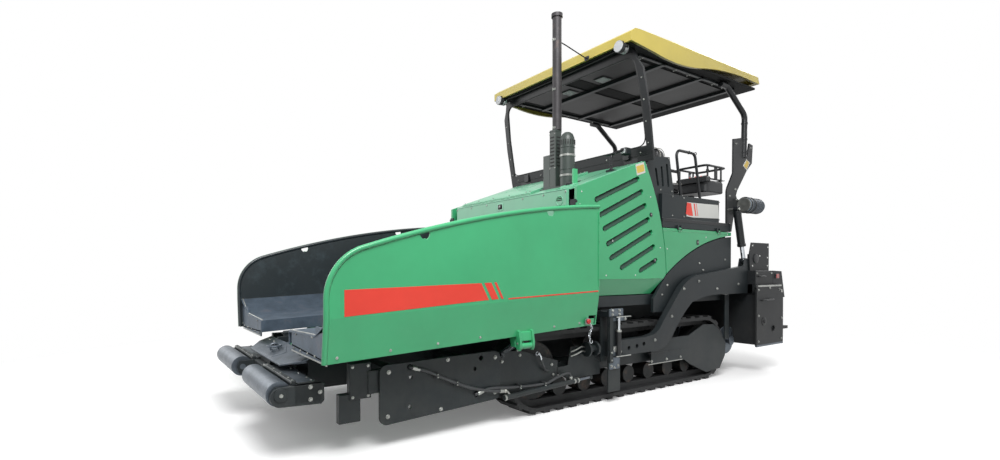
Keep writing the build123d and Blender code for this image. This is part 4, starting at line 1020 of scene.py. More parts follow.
class PAVER_OT_door_trim(bpy.types.Operator):
    """Fit the side doors with louvre blades, rivets, a blank plate, seams and locks"""

    bl_idname = "paver.doors"
    bl_label = "Side door fittings"

    def execute(self, context):
        slots = ((-215, 2126, 455, 2406), (-147, 1972, 520, 2268), (-90, 1828, 582, 2118),
            (-35, 1669, 640, 1964), (15, 1518, 690, 1819), (185, 1416, 738, 1657), (508, 1385, 782, 1498))
        trim = Piece()
        for y0, z0, y1, z1 in slots:
            # leaning blade behind the slot, its dark green partly the door's paint and partly painted shade
            # inside the slot, and the pressed lip round it
            across = Vector((0, z0 - z1, y1 - y0)).normalized()
            low, high, shell = across * -24, across * 22, []
            for x_low, x_high in ((1172, 1196), (1169, 1193)):
                shell += [Vector((x, y, z)) + side for x, y, z, side in ((x_high, y0, z0, low),
                    (x_high, y1, z1, low), (x_low, y1, z1, high), (x_low, y0, z0, high))]
            trim.add(shell, BLOCK, "door_inside")
            rim = [(DOOR_FACE + 0.6, y, z) for y, z in slot_outline(y0, z0, y1, z1, 29.5, 22.5)]
            trim.tube([*rim, rim[0]], 1.9, "green_paint", 6)
        # blank plate at the top rear corner, and the locks
        trim.plate(rounded([(413, 2558), (561, 2606), (592, 2488), (444, 2440)], 12), 0, 1200, 1201.2,
            "blank_white", 0.4)
        trim.plate(rounded([(428, 2541), (556, 2582), (576, 2505), (448, 2464)], 8), 0, 1201, 1201.8,
            "blank_yellow", 0.3)
        for y, z in ((760, 1500), (690, 2020)):
            trim.turned((1200, y, z), LEFT, [(22, 0), (24, 2), (24, 6), (20, 8)], "dark_plastic", 28)
            trim.turned((1207, y, z), LEFT, [(9, 0), (9, 4), (6, 5)], "zinc", 16)
        # folded seam line along the lower fold
        trim.tube([(1200.5, -496, 1291), (1200.5, 930, 1291)], 2.2, "green_paint", 6)
        trim.pair("door_fittings", "side_door")
        # rivet heads in near white: painted highlight for the glints on them
        for size, spots in ((9, ((683, 2219), (866, 1645), (43, 1700), (-430, 2190), (-440, 1500),
                (-440, 1850), (420, 1330), (-60, 1330))), (5, [(-455, z + out) for z in (1360, 1700, 2050)
                for out in (-12, 12)])):
            pair_bolts("side_door", "white_rivet", LEFT, size, [(DOOR_FACE, y, z) for y, z in spots])
        flap = Piece()
        flap.tube([(1200.4, 905, 1850), (1200.4, 2370, 1850)], 2.0, "green_paint", 6)
        flap.pad(0, (1590, 1640), (1700, 1760), (1200, 1203), "dark_plastic", 14, 1)
        flap.turned((1202, 1615, 1730), LEFT, [(11, 0), (11, 6), (8, 8)], "zinc", 20)
        flap.pair("flap_fittings", "rear_flap")
        # rivet heads in near white, painted highlight for their glints
        pair_bolts("rear_flap", "white_rivet", LEFT, 9, [(DOOR_FACE, y, z) for y, z in ((997, 1636),
            (1800, 1800), (2300, 1850))])
        side_bolts(1200, 10, ((2237, 1522), (1654, 1470), (1000, 1210), (900, 1100), (1738, 1385),
            (2330, 1380)))
        return {"FINISHED"}


class PAVER_OT_platform_trim(bpy.types.Operator):
    """Add the station's blank plates, rail clamps, tread and bolts"""

    bl_idname = "paver.platform"
    bl_label = "Platform fittings"

    def execute(self, context):
        trim = Piece()
        # blank plate on the side box with its slanted block
        trim.plate([(1390, 2042), (1520, 2034), (2104, 2052), (2088, 2226), (1400, 2214)], 0, 1192, 1193.4,
            "blank_white", 0.5)
        trim.plate([(1378, 2069), (1440, 2054), (1526, 2054), (1484, 2208), (1398, 2211)], 0, 1193.2,
            1194.4, "stripe_paint", 0.3)
        for y0, y1 in ((1550, 1575), (1600, 1612)):
            trim.plate([(y0 + 24, 2058), (y1 + 24, 2058), (y1 - 14, 2210), (y0 - 14, 2210)], 0, 1193.2,
                1194.2, "stripe_paint", 0.3)
        # tread plate's edge strip along the deck, and the rail feet
        trim.box((1195, 1198), (920, 2376), (1960, 1998), "black_paint", 1)
        for y in (1398, 1812):
            trim.pad(2, (1085, 1135), (y - 42, y + 42), (2285, 2292), "black_paint", 12, 2)
        # rubber mat and ribbed step on the deck
        trim.box((-540, 540), (760, 2140), (2000, 2006), "rubber", 2)
        for k in range(26):
            x = -525 + k * 42
            trim.box((x, x + 10), (775, 2125), (2006, 2009), "rubber", 1)
        for y in (1560, 1700):
            trim.ring((1110, y, 2855), REAR, 17, 5, "dark_plastic", 20)
        trim.mirror().finish("platform_fittings")
        both_bolts("chassis", "zinc", UP, *[(x, y, 2292) for x in (1092, 1128)
            for y in (1366, 1430, 1780, 1844)], size=6)
        both_bolts("chassis", "zinc", LEFT, *[(1192, y, z) for y in (1110, 1340, 2108)
            for z in (2036, 2262)], size=7)
        side_bolts(1155, 8, ((660, 2060), (860, 2060), (660, 2590), (790, 2690), (1080, 2715), (1150, 2330),
            (930, 2330)))
        return {"FINISHED"}


def seat_form(x, part):
    """A closed cushion as a fine rounded block; the back's head is narrower and its sides draw in."""
    low, high = {"cushion": ((x - 222, 1355, 2400), (x + 222, 1723, 2508)), "back": ((x - 218, 1259, 2440),
        (x + 218, 1355, 2950))}[part]
    low, high = Vector(low) / 1000, Vector(high) / 1000
    middle, half = (low + high) / 2, (high - low) / 2
    mesh = bpy.data.meshes.new(f"seat_{part}")
    shell = bmesh.new()
    bmesh.ops.create_cube(shell, size=2.0)
    bmesh.ops.subdivide_edges(shell, edges=shell.edges, cuts=23, use_grid_fill=True)
    for point in shell.verts:
        p = point.co.copy()
        # superellipsoid rounding
        power = 5.0
        length = (abs(p.x) ** power + abs(p.y) ** power + abs(p.z) ** power) ** (1 / power)
        q = p / length
        if part == "back":
            # narrower, round head
            shrink = 1 - 0.30 * max(0.0, (q.z - 0.45) / 0.55) ** 2
            q.x *= shrink
            q.y *= 0.86 + 0.14 * (1 - q.x ** 2)
        point.co = Vector((middle.x + q.x * half.x, middle.y + q.y * half.y, middle.z + q.z * half.z))
    shell.to_mesh(mesh)
    shell.free()
    return mesh, middle, half


def pad_bulge(piece, middle, half, part):
    """Swells a pad between its seams and presses its sewn channels in."""
    swelling, depth, width, drawn_in = 0.010, 0.0055, 0.035, 0.006
    seams_across = (-0.42, 0.0, 0.42) if part == "back" else (-0.3, 0.25)
    normals = [v.normal.copy() for v in piece.data.vertices]
    for vertex, normal in zip(piece.data.vertices, normals):
        u = (vertex.co.x - middle.x) / half.x
        if part == "back":
            v, out = (vertex.co.z - middle.z) / half.z, abs(normal.y)
        else:
            v, out = (vertex.co.y - middle.y) / half.y, abs(normal.z)
        swell = swelling * (1 - u * u) * (1 - v * v) * out
        channel = 0.0
        for seam in seams_across:
            channel += depth * math.exp(-((v - seam) / width) ** 2) * max(0.0, 1 - abs(u / 0.72) ** 6)
        for seam in (-0.72, 0.72):
            channel += depth * math.exp(-((u - seam) / width) ** 2)
        vertex.co += normal * (swell - channel * out - drawn_in)


def inflate(piece, cap):
    """Cloth under pressure fills the pad; a point moves no further than the cap."""
    scene = bpy.context.scene
    remesh = piece.modifiers.new("Remesh", "REMESH")
    remesh.mode = "VOXEL"
    remesh.voxel_size = 0.0065
    mesh = plain_mesh(piece)
    piece.modifiers.remove(remesh)
    piece.data = mesh
    rest = [v.co.copy() for v in mesh.vertices]
    cloth = piece.modifiers.new("Cloth", "CLOTH")
    settings = cloth.settings
    settings.use_pressure = True
    settings.uniform_pressure_force = 4.0
    settings.effector_weights.gravity = 0.0
    settings.tension_stiffness = settings.compression_stiffness = 20
    settings.quality = 5
    cloth.point_cache.frame_start, cloth.point_cache.frame_end = 1, 20
    for step in range(1, 21):
        scene.frame_set(step)
    full = bpy.data.meshes.new_from_object(piece.evaluated_get(bpy.context.evaluated_depsgraph_get()))
    piece.modifiers.remove(cloth)
    for vertex, start in zip(full.vertices, rest):
        move = vertex.co - start
        if move.length > cap:
            vertex.co = start + move * (cap / move.length)
    piece.data = full
    scene.frame_set(1)


class PAVER_OT_seats(bpy.types.Operator):
    """Sew the two operator's seats, with piping, shells and arm rests"""

    bl_idname = "paver.seats"
    bl_label = "Seats"

    def execute(self, context):
        for side, x in (("left", 720), ("right", -720)):
            pads = []
            for part in ("cushion", "back"):
                mesh, middle, half = seat_form(x, part)
                pad = bpy.data.objects.new(f"seat_{part}_{side}", mesh)
                context.scene.collection.objects.link(pad)
                inflate(pad, 0.012)
                pad_bulge(pad, middle, half, part)
                pad.data.materials.clear()
                pad.data.materials.append(FINISHES["seat_leather"])
                smooth = pad.modifiers.new("Subdivision", "SUBSURF")
                smooth.levels = smooth.render_levels = 1
                pad.data.shade_smooth()
                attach(pad, "chassis")
                pads.append(pad)
            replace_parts(pads[1], f"seat_{side}")
            trim = Piece()
            # piping round the back's front and rear edge and the cushion's rim, its pale grey a painted
            # highlight along the rounded edges
            for y in (1265, 1347):
                half = ((204, 2470), (207, 2620), (203, 2760), (180, 2870), (120, 2930))
                line = [(x + out, y, z) for out, z in half] + [(x, y, 2944)] + [(x - out, y, z)
                    for out, z in reversed(half)]
                trim.hose(line, 5, 4.5, "seat_piping", 8)
            rim = rounded([(x - 216, 1365), (x + 216, 1365), (x + 216, 1715), (x - 216, 1715)], 60, 5)
            trim.tube([(*p, 2493) for p in rim] + [(*rim[0], 2493)], 4.5, "seat_piping", 8)
            # shells under the cushion and behind the back
            trim.pad(2, (x - 190, x + 190), (1335, 1695), (2392.5, 2404), "dark_plastic", 40, 3)
            trim.box((x - 170, x + 170), (1253, 1262), (2460, 2700), "dark_plastic", 3)
            # arm rests on their brackets
            for sign in (-1, 1):
                trim.hose([(x + sign * 222, 1305, 2560), (x + sign * 226, 1313, 2610),
                    (x + sign * 226, 1355, 2632)], 4, 10, "black_paint", 10)
                trim.plate(rounded([(1335, 2628), (1625, 2628), (1625, 2660), (1335, 2664)], 14), 0,
                    x + sign * 213 - 20, x + sign * 213 + 20, "seat_leather", 7)
            # belt buckle
            trim.box((x + 196, x + 212), (1395, 1425), (2500, 2560), "red_plastic", 3)
            trim.finish(f"seat_fittings_{side}", "chassis")
        return {"FINISHED"}


class PAVER_OT_canopy_trim(bpy.types.Operator):
    """Add the canopy's gutter, edges, underside ribs, skylights and lamps"""

    bl_idname = "paver.canopy"
    bl_label = "Canopy and lamps"

    def execute(self, context):
        trim = Piece()
        # rounded pale lip along the canopy's lower edge, and the dark gutter line above it
        wave = ((300, 3896), (500, 3877), (700, 3859), (950, 3835), (1200, 3829), (1450, 3848),
            (1700, 3893), (1925, 3929), (2150, 3953), (2400, 3968), (2666, 3973), (3008, 3964))
        for side in (1, -1):
            trim.hose([(side * 1235, y, z) for y, z in wave], 3, 5, "canopy_paint", 10)
            trim.hose([(side * 1238.6, y, z + 17) for y, z in wave], 3, 1.4, "gutter_brown", 8)
        trim.tube([(-1225, 291, 3893), (1225, 291, 3893)], 6, "canopy_paint", 10)
        trim.tube([(-1225, 3014, 3963), (1225, 3014, 3963)], 5, "canopy_paint", 10)
        # shiny panels set in the underside, each in a frame, and the wiring duct; the frames' near black is
        # partly the liner's dark grey and partly painted shade under the canopy
        for x0, x1, y0, y1 in [(*x, *y) for y in ((560, 1040), (1160, 1840), (1960, 2580))
                for x in ((-960, -120), (120, 960))]:
            trim.pad(2, (x0, x1), (y0, y1), (3876, 3880), "board_gloss", 30, 1.5)
            for x in (x0, x1):
                trim.box((x - 6, x + 6), (y0, y1), (3871, 3880), "liner_board", 2)
            for y in (y0, y1):
                trim.box((x0, x1), (y - 6, y + 6), (3871, 3880), "liner_board", 2)
        trim.hose([(-1094, 330, 3868), (-700, 372, 3872), (0, 380, 3872), (700, 372, 3872),
            (1094, 330, 3868)], 6, 8, "rubber", 8)
        for x in (-300, 300):
            trim.pad(2, (x - 90, x + 90), (810, 1000), (3866, 3877), "dark_plastic", 24, 3)
            trim.pad(2, (x - 74, x + 74), (826, 984), (3863, 3867), "lamp_glass", 18, 1)
        # lamps: housing, deep dark bowl, bright rim and ribbed lens
        for x in (-1094, 1094):
            trim.turned((x, 310, 3865), FRONT, [(40, -40), (56, -30), (62, 0), (64, 30), (64, 52), (60, 56),
                (57, 52), (52, 34)], "dark_plastic", 40)
            trim.turned((x, 310, 3865), FRONT, [(51, 40), (52, 46), (44, 51), (20, 54), (4, 55)],
                "lamp_glass", 40)
            trim.ring((x, 257, 3865), REAR, 60, 3.2, "dark_plastic", 44, 8)
            # fork that holds it under the canopy
            for dx in (-66, 66):
                trim.box((x + dx - 4, x + dx + 4), (285, 335), (3850, 3885), "black_paint", 1)
        trim.finish("canopy_fittings")
        both_bolts("chassis", "zinc", (0, 0, -1), *[(x, y, 3846) for x in (1044, 1076)
            for y in (420, 700, 1340, 1620, 2180, 2420)], size=8)
        both_bolts("chassis", "zinc", LEFT, *[(1160, 310, 3868)], size=6)
        return {"FINISHED"}


class PAVER_OT_exhaust_trim(bpy.types.Operator):
    """Add the exhaust's cap hinge, stay, heat slots and clamps"""

    bl_idname = "paver.exhaust"
    bl_label = "Exhaust fittings"

    def execute(self, context):
        trim = Piece()
        # clamps round the pipe with their ears
        for z in (3000, 3434, 3990):
            trim.turned((*STACK, z), UP, [(43.5, -14), (47, -12), (47, 12), (43.5, 14)], "zinc", 36)
            trim.box((597, 609), (-270, -256), (z - 12, z + 12), "zinc", 2)
        # stay from the pipe to the canopy's edge, in two rods with a bracket
        trim.hose([(603, -168, 3990), (600, -60, 3975), (596, 120, 3938), (594, 286, 3905)], 6, 7,
            "black_paint", 10)
        trim.pad(1, (560, 632), (3884, 3932), (283, 289), "black_paint", 10, 1.5)
        # hinged rain cap's counterweight
        trim.box((590, 616), (-182, -146), (4262, 4276), "exhaust_steel", 3)
        trim.ring((*STACK, 4254), UP, 44, 3, "exhaust_steel", 36, 8)
        # slots in the heat shaft, as dark inset plates with rims: their black is painted shade inside the
        # openings
        for z in (2560, 2600, 2640, 2680, 2720, 2760, 2800, 2840, 2880):
            trim.box((566, 630), (-274.5, -272), (z, z + 15), "seam_black", 1)
            trim.box((646.8, 649), (-250, -196), (z, z + 15), "seam_black", 0.8)
        trim.tube([(549, -272, 2955), (647, -272, 2955), (647, -172, 2955), (549, -172, 2955),
            (549, -272, 2955)], 4, "exhaust_paint", 8)
        # silencer dome: its rings, and its slots as black bars of painted shade
        for z, thick in ((2500, 5), (2740, 4)):
            trim.ring((*SILENCER, z), UP, 82, thick, "exhaust_paint", 48, 8)
        for x, y in arc(SILENCER, 82.5, range(0, 360, 20)):
            trim.tube([(x, y, 2770), (x, y, 2825)], 4.5, "seam_black", 6)
        trim.finish("exhaust_fittings")
        bolt("chassis", "zinc", FRONT, *[(x, -272, z) for x in (558, 638) for z in (2540, 2925)], size=6)
        bolt("chassis", "zinc", FRONT, (603, -270, 3434), (603, -270, 3990), size=6)
        return {"FINISHED"}


class PAVER_OT_console_trim(bpy.types.Operator):
    """Fill the operator's desk with its screen, switches, levers, rubber lining and knob"""

    bl_idname = "paver.console"
    bl_label = "Desk fittings"

    def execute(self, context):
        trim = Piece()
        # sloped instrument plate with blank screen and rows of switches
        trim.pad(2, (712, 1138), (1906, 1979), (2594, 2600), "black_paint", 16, 2)
        trim.pad(2, (740, 860), (1912, 1974), (2599, 2603), "screen_glass", 8, 1)
        for i in range(9):
            for j in range(2):
                x, y = 890 + i * 27, 1926 + j * 30
                trim.turned((x, y, 2599), UP, [(8, 0), (8, 4), (5, 8), (4, 14), (2.5, 16)],
                    "zinc" if (i + j) % 3 else "red_plastic", 12)
        # levers in rubber boots
        for x, y in ((800, 2060), (1050, 2060)):
            trim.turned((x, y, 2556), UP, [(34, 0), (36, 4), (30, 10), (33, 14), (25, 20), (28, 24),
                (18, 30), (12, 38)], "rubber", 24)
            trim.hose([(x, y, 2585), (x + 3, y + 4, 2640), (x + 2, y + 10, 2690)], 4, 6, "chrome", 10)
            trim.turned((x + 2, y + 10, 2680), (0, 0.1, 1), [(9, 0), (17, 6), (20, 20), (18, 34), (8, 42)],
                "dark_plastic", 20)
        # ribbed rubber lining of the tub and its rim
        for k in range(11):
            y = 2010 + k * 28
            trim.box((760, 1090), (y, y + 9), (2555, 2559), "rubber", 1)
        # brackets under the beam and the steering knob
        for x in (-860, -600, -120, 120, 600):
            trim.box((x, x + 40), (2166, 2172), (2375, 2420), "black_paint", 1)
        trim.turned((500, 2205, 2425), UP, [(52, 0), (54, 5), (46, 12), (20, 16), (18, 60), (40, 66),
            (44, 80), (36, 92), (10, 96)], "dark_plastic", 32)
        # clamps that join the rings to the flat posts
        for x, y in ((735, 1935), (1115, 1935), (735, 2345), (1115, 2345)):
            trim.ring((x, y, 2575), UP, 12, 4, "dark_plastic", 16, 6)
        trim.finish("desk_fittings")
        bolt("chassis", "zinc", FRONT, *[(x, 2170, 2398) for x in (-840, -400, 0, 380, 700)], size=8)
        return {"FINISHED"}


class PAVER_OT_frame_trim(bpy.types.Operator):
    """Seal the canopy frame's window, add its hinge blocks, wiring and bolts, and the rear hoops' plates,
    clamps and tank end
    """

    bl_idname = "paver.canopy_frame"
    bl_label = "Canopy frame fittings"

    def execute(self, context):
        trim = Piece()

        # rubber seal round the window's edge
        edge = rounded([(-1185, 157), (1185, 157), (1185, 700), (1140, 1157), (-1140, 1157), (-1185, 700)],
            118, 6)
        line = [on_frame(x, s, -2) for x, s in edge]
        trim.tube([*line, line[0]], 7, "rubber", 8)
        trim.tube([on_frame(-1190, 60, 1), on_frame(1190, 60, 1)], 3, "black_paint", 6)
        # hinge blocks on the low band
        for x in (-900, 900):
            trim.pad(1, (x - 45, x + 45), (2680, 2790), (614, 632), "black_paint", 12, 3)
        trim.finish("canopy_frame_fittings")
        spots = [on_frame(x, s, 0.5) for x in (-1215, 1215) for s in (180, 420, 660, 900)]
        bolt("chassis", "zinc", (0, -math.cos(FRAME_LEAN), -math.sin(FRAME_LEAN)), *spots, size=7)
        bolt("chassis", "zinc", (0, -math.cos(FRAME_LEAN), -math.sin(FRAME_LEAN)),
            *[on_frame(x, 90, 0.5) for x in (-1100, -600, 0, 600, 1100)], size=8)
        hoops = Piece()
        # blank plates, the red tab and the clamps on the rear hoops
        hoops.plate([(2873, 2928), (2966, 2884), (2882, 2766), (2782, 2822)], 0, 1142, 1143.2,
            "blank_white", 0.4)
        hoops.plate([(2880, 2912), (2944, 2880), (2876, 2786), (2806, 2824)], 0, 1143, 1144, "blank_yellow",
            0.3)
        hoops.box((1150, 1164), (2812, 2834), (3176, 3206), "red_plastic", 2)
        for z in (3000, 3180, 3400):
            y = 2822 + (z - 2940) * 0.039
            hoops.turned((1130, y, z), (0, 0.039, 1), [(38.5, 0), (43, 3), (43, 24), (38.5, 27)],
                "black_paint", 32)
        # round end of the tank, its ribs and cap
        for k in range(9):
            hoops.ring((1230, 2690 + k * 36, 2265), REAR, 102, 4, "black_paint", 40, 6)
        hoops.turned((1230, 2640, 2265), FRONT, [(96, -2), (96, 2), (84, 5), (80, 4), (20, 6), (6, 7)],
            "zinc", 40)
        hoops.mirror().finish("hoop_fittings")
        side_bolts(1142, 11, ((2450, 2000), (2450, 2380), (2590, 2480), (2600, 3100), (2980, 3090),
            (2620, 2340)))
        return {"FINISHED"}


class PAVER_OT_screed_trim(bpy.types.Operator):
    """Dress the screed: bolts, lamps, reflectors, walkway grating, handles and hoses"""

    bl_idname = "paver.screed"
    bl_label = "Screed fittings"

    def execute(self, context):
        trim = Piece()
        trim.box((1398, 1410), (3153, 3245), (1264, 1336), "dark_plastic", 4)
        trim.box((1408, 1416), (3159, 3239), (1270, 1330), "lamp_red", 5)
        trim.plate([(3262, 1105), (3352, 1118), (3366, 1096), (3368, 1074), (3266, 1062)], 0, 1398, 1400.5,
            "blank_white", 0.6)
        # folded stiffeners and the strike-off edge
        trim.box((1444, 1450), (2600, 3230), (1160, 1182), "bright_edge", 1)
        trim.box((1420, 1447), (2580, 3286), (367, 392), "worn_steel", 3)
        trim.ring((1444, 3011, 593), LEFT, 43, 5, "screed_paint", 36)
        trim.turned((1444, 2760, 700), LEFT, [(60, -2), (60, 4), (52, 8), (24, 9), (22, 20), (10, 22)],
            "screed_paint", 36)
        trim.hose([(1444, 2700, 980), (1476, 2706, 984), (1490, 2760, 986), (1490, 2900, 990),
            (1476, 2954, 992), (1444, 2960, 992)], 5, 10, "black_paint", 10)
        # handle on the mount and the arm's collar
        trim.hose([(1396, 2700, 1300), (1420, 2706, 1300), (1424, 2780, 1300), (1420, 2854, 1300),
            (1396, 2860, 1300)], 5, 9, "black_paint", 10)
        trim.turned((1290, 2800, 1540), LEFT, [(62, 16), (66, 18), (66, 30), (58, 34), (30, 35)],
            "black_paint", 36)
        # hydraulic hoses from the arm's end over to the screed
        for dx in (0, 26):
            trim.hose([(1270 - dx, 2680, 1400), (1268 - dx, 2660, 1350), (1262 - dx, 2652, 1240),
                (1256 - dx, 2664, 1130), (1250 - dx, 2700, 1082)], 6, 10, "rubber", 10)
        trim.mirror().finish("screed_fittings", "screed")
        # the near-white rivet heads on the mount plates are painted highlight for their glints
        side_bolts(1312, 13, ((3131, 1700), (2720, 1713), (2910, 1575), (3120, 1554), (3120, 1440),
            (2720, 1440)), "screed", "white_rivet")
        side_bolts(1444, 12, ((2913, 1142), (2620, 1120), (3180, 1120), (2620, 440), (3240, 440),
            (2620, 780), (3250, 720)), "screed")
        side_bolts(1290, 13, ((1196, 1165), (647, 600), (957, 850), (1500, 1250), (1900, 1150),
            (2400, 1200)), "screed")
        side_bolts(1396, 10, ((2670, 1110), (2670, 1340), (3060, 1340)), "screed")
        grating = Piece()
        # chequer bars of the step and the rear wall's panels
        for k in range(12):
            x = -1400 + k * 233.3
            for j in range(7):
                y = 3290 + j * 25
                grating.box((x + 16, x + 222), (y, y + 5), (582, 596), "worn_steel", 0.6)
        for x in (-1300, -980, -500, 0, 500, 980, 1300):
            grating.box((x - 60, x + 60), (3260, 3264), (930, 968), "screed_paint", 1)
        grating.finish("step_grating", "screed")
        bolt("screed", "zinc", REAR, *[(x, 3260, z) for x in (-1380, -715, -240, 240, 715, 1380)
            for z in (650, 890)], size=9)
        return {"FINISHED"}


class PAVER_OT_augers(bpy.types.Operator):
    """Wind the screws' helical flights round their shafts"""

    bl_idname = "paver.augers"
    bl_label = "Screw flights"

    def execute(self, context):
        flights = context.scene.paver_sizes.flight_steps
        for sign, body in ((1, "auger_left"), (-1, "auger_right")):
            piece, points = Piece(), []
            start, end, pitch = 182.0, 1150.0, 300.0
            steps = int((end - start) / pitch * flights)
            for i in range(steps + 1):
                x = start + (end - start) * i / steps
                turn = math.tau * (x - start) / pitch
                for radius, shift in ((44, -6), (181, -6), (181, 6), (44, 6)):
                    points.append((sign * (x + shift), AUGER[0] + radius * math.cos(turn),
                        AUGER[1] + radius * math.sin(turn)))
            piece.loft(points, 4, "worn_steel")
            for x in (150, 1180):
                piece.turned((sign * x, *AUGER), LEFT, [(44, -12), (58, -10), (58, 10), (44, 12)],
                    "worn_steel", 32)
            flight = piece.finish(f"{body}_flight", body)
        return {"FINISHED"}


class PAVER_OT_cylinders(bpy.types.Operator):
    """Add glands, collars and hose ends to the cylinders"""

    bl_idname = "paver.cylinders"
    bl_label = "Cylinder fittings"

    def execute(self, context):
        run = (Vector((0, 2600, 1512)) - Vector((0, 2425, 2190))).normalized()
        for sign, side in SIDES:
            top = Vector((sign * 1253, 2425, 2190))
            barrel = Piece()
            barrel.turned(top, run, [(48.5, 468), (54, 472), (54, 500), (50, 505), (28, 506)],
                "black_paint", 36)
            barrel.turned(top, run, [(48.2, 60), (51, 62), (51, 76), (48.2, 78)], "black_paint", 36)
            for at in (90, 440):
                spot = top + run * at
                barrel.turned(spot, (0, 1, 0.2), [(14, 44), (14, 64), (10, 66)], "zinc", 6)
                barrel.hose([spot + Vector((0, 64, 12)), spot + Vector((0, 84, 10)),
                    spot + Vector((-sign * 20, 96, -30)), spot + Vector((-sign * 26, 90, -110))], 5, 9,
                    "rubber", 10)
            barrel.finish(f"lift_barrel_fittings_{side}", f"lift_barrel_{side}")
        return {"FINISHED"}


class PAVER_OT_bolts(bpy.types.Operator):
    """Set the collected bolt heads and rivets on every body"""

    bl_idname = "paver.bolts"
    bl_label = "Bolts and rivets"

    def execute(self, context):
        sides = context.scene.paver_sizes.bolt_sides
        heads = repeat_tree("Bolt heads", bolt_shape, [("Sides", "NodeSocketInt", 6)])
        domes = repeat_tree("Rivet heads", rivet_shape, [])
        for (body, finish), spots in sorted(BOLTS.items()):
            name = f"{body}_{finish}_heads"
            tree = domes if finish == "white_rivet" else heads
            grow(name, point_mesh(name, spots), tree, body, Sides=sides, Finish=FINISHES[finish], Seed=7)
        return {"FINISHED"}


def crest_line():
    """The middle of a wing's rim as y and z: upright, round corner, long slope."""
    lean = math.atan(0.314)
    corner, steps = 375, 12
    line = [(-3185.0, 1060.0), (-3185.0, 1190.0)]
    for step in range(1, steps + 1):
        angle = (math.pi / 2 - lean) * step / steps
        line.append((-2810 - corner * math.cos(angle), 1190 + corner * math.sin(angle)))
    start, reach, rest = line[-1], 10223.0, lean - math.radians(13.66)
    for step in range(1, 31):
        angle = lean + (rest - lean) * step / 30
        line.append((start[0] + reach * (math.sin(lean) - math.sin(angle)), start[1]
            + reach * (math.cos(angle) - math.cos(lean))))
    return line


class PAVER_OT_wings(bpy.types.Operator):
    """Draw each wing: wall with its round rim, lower panel, steel floor, end plate, clevis and knuckles"""

    bl_idname = "paver.wings"
    bl_label = "Wings"

    def execute(self, context):
        rise = WING_RISE
        shell = Piece()
        # the wall's outline follows the rim, with a round notch at each lifting eye
        crest, wall, notches = crest_line(), [], list(WING_EYES)
        for y, z in crest:
            eye = next((spot for spot in WING_EYES if abs(y - spot[0]) < 40), None)
            if eye is None:
                wall.append((y, z))
            elif eye in notches:
                notches.remove(eye)
                wall += arc(eye, 42, range(148, 393, 12))
        wall.append((-532, 1060 + rise * 2653))
        shell.plate(wall, 0, 1514, 1526, "wing_paint")
        shell.tube([(1472, -3185, 751), (1520, -3185, 1060)] + [(1520, y, z) for y, z in crest[1:]], 20,
            "wing_paint", 16)
        # the leaning panel under the fold, with the slot that holds the chain's hook
        first = len(shell.points)
        shell.cut([[(-3185, 747), (-530, 747 + rise * 2655), (-530, 1060 + rise * 2655), (-3185, 1060)],
            [(-642, 868), (-620, 868), (-620, 925), (-562, 925), (-562, 868), (-540, 868), (-540, 955),
            (-642, 955)]], 0, 1466, 1478, "wing_paint")
        for point in shell.points[first:]:
            point.x += (point.z - 747 - rise * (point.y + 3185)) * 48 / 313
        # steel floor, bottom, end plate and back
        shell.run([(1513.7, 1060), (1185, 917), (508, 892), (508, 775), (520, 775), (520, 880), (1185, 905),
            (1511, 1048)], -3163, -530, "tray_steel", rise)
        shell.run([(521, 776), (1464, 748), (1464, 759), (521, 787)], -3155, -531, "wing_paint", rise)
        shell.run([(565, 729), (565, 892), (1185, 917), (1197, 985), (1513.5, 992), (1512, 1056),
            (1465, 745)], -3155, -3143, "tray_steel", 0)
        shell.run([(570, 940), (570, 1240), (1100, 1985), (1486, 1985), (1509, 1940), (1509, 1180),
            (1457, 880)], -542, -530.5, "dark_paint", 0)
        # clevis, ears and the hinge's knuckles
        cheek = [(1482, 872), (1512, 864), (1530, 762), (1526, 722), (1512, 697), (1492, 693), (1475, 710),
            (1469, 744), (1475, 832)]
        for y in (-1515, -1371):
            shell.plate(cheek, 1, y, y + 24, "wing_paint", 2)
        shell.plate([(1480, 860), (1500, 852), (1508, 782), (1484, 774), (1473, 822)], 1, -1514, -1348,
            "wing_paint")
        shell.turned((1496, -1516, 734), REAR, [(24, 0), (26, 2), (26, 168), (24, 170)], "wing_paint", 28)
        for y in (-1515, -1435):
            shell.plate([(1370, 844), (1456, 844), (1462, 724), (1402, 724)], 1, y, y + 20, "wing_paint", 2)
        # every second knuckle of nine belongs to the wing
        length, count, gap = 2175, 9, 8
        for place in range(1, count, 2):
            y0 = -2951 + place * length / count
            y1 = y0 + length / count - gap
            z0, z1 = 745 + rise * (y0 + 3205), 745 + rise * (y1 + 3205)
            shell.tube([(495, y0, z0), (495, y1, z1)], 21.5, "wing_paint", 20)
            shell.plate([(y0, z0 - 8), (y0, z0 + 40), (y1, z1 + 40), (y1, z1 - 8)], 0, 511, 519,
                "wing_paint")
        left = shell.finish("wing_shell_left", "wing_left")
        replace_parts(left, "wing_left")
        right = shell.mirror(keep=False).finish("wing_shell_right", "wing_right")
        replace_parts(right, "wing_right")
        return {"FINISHED"}


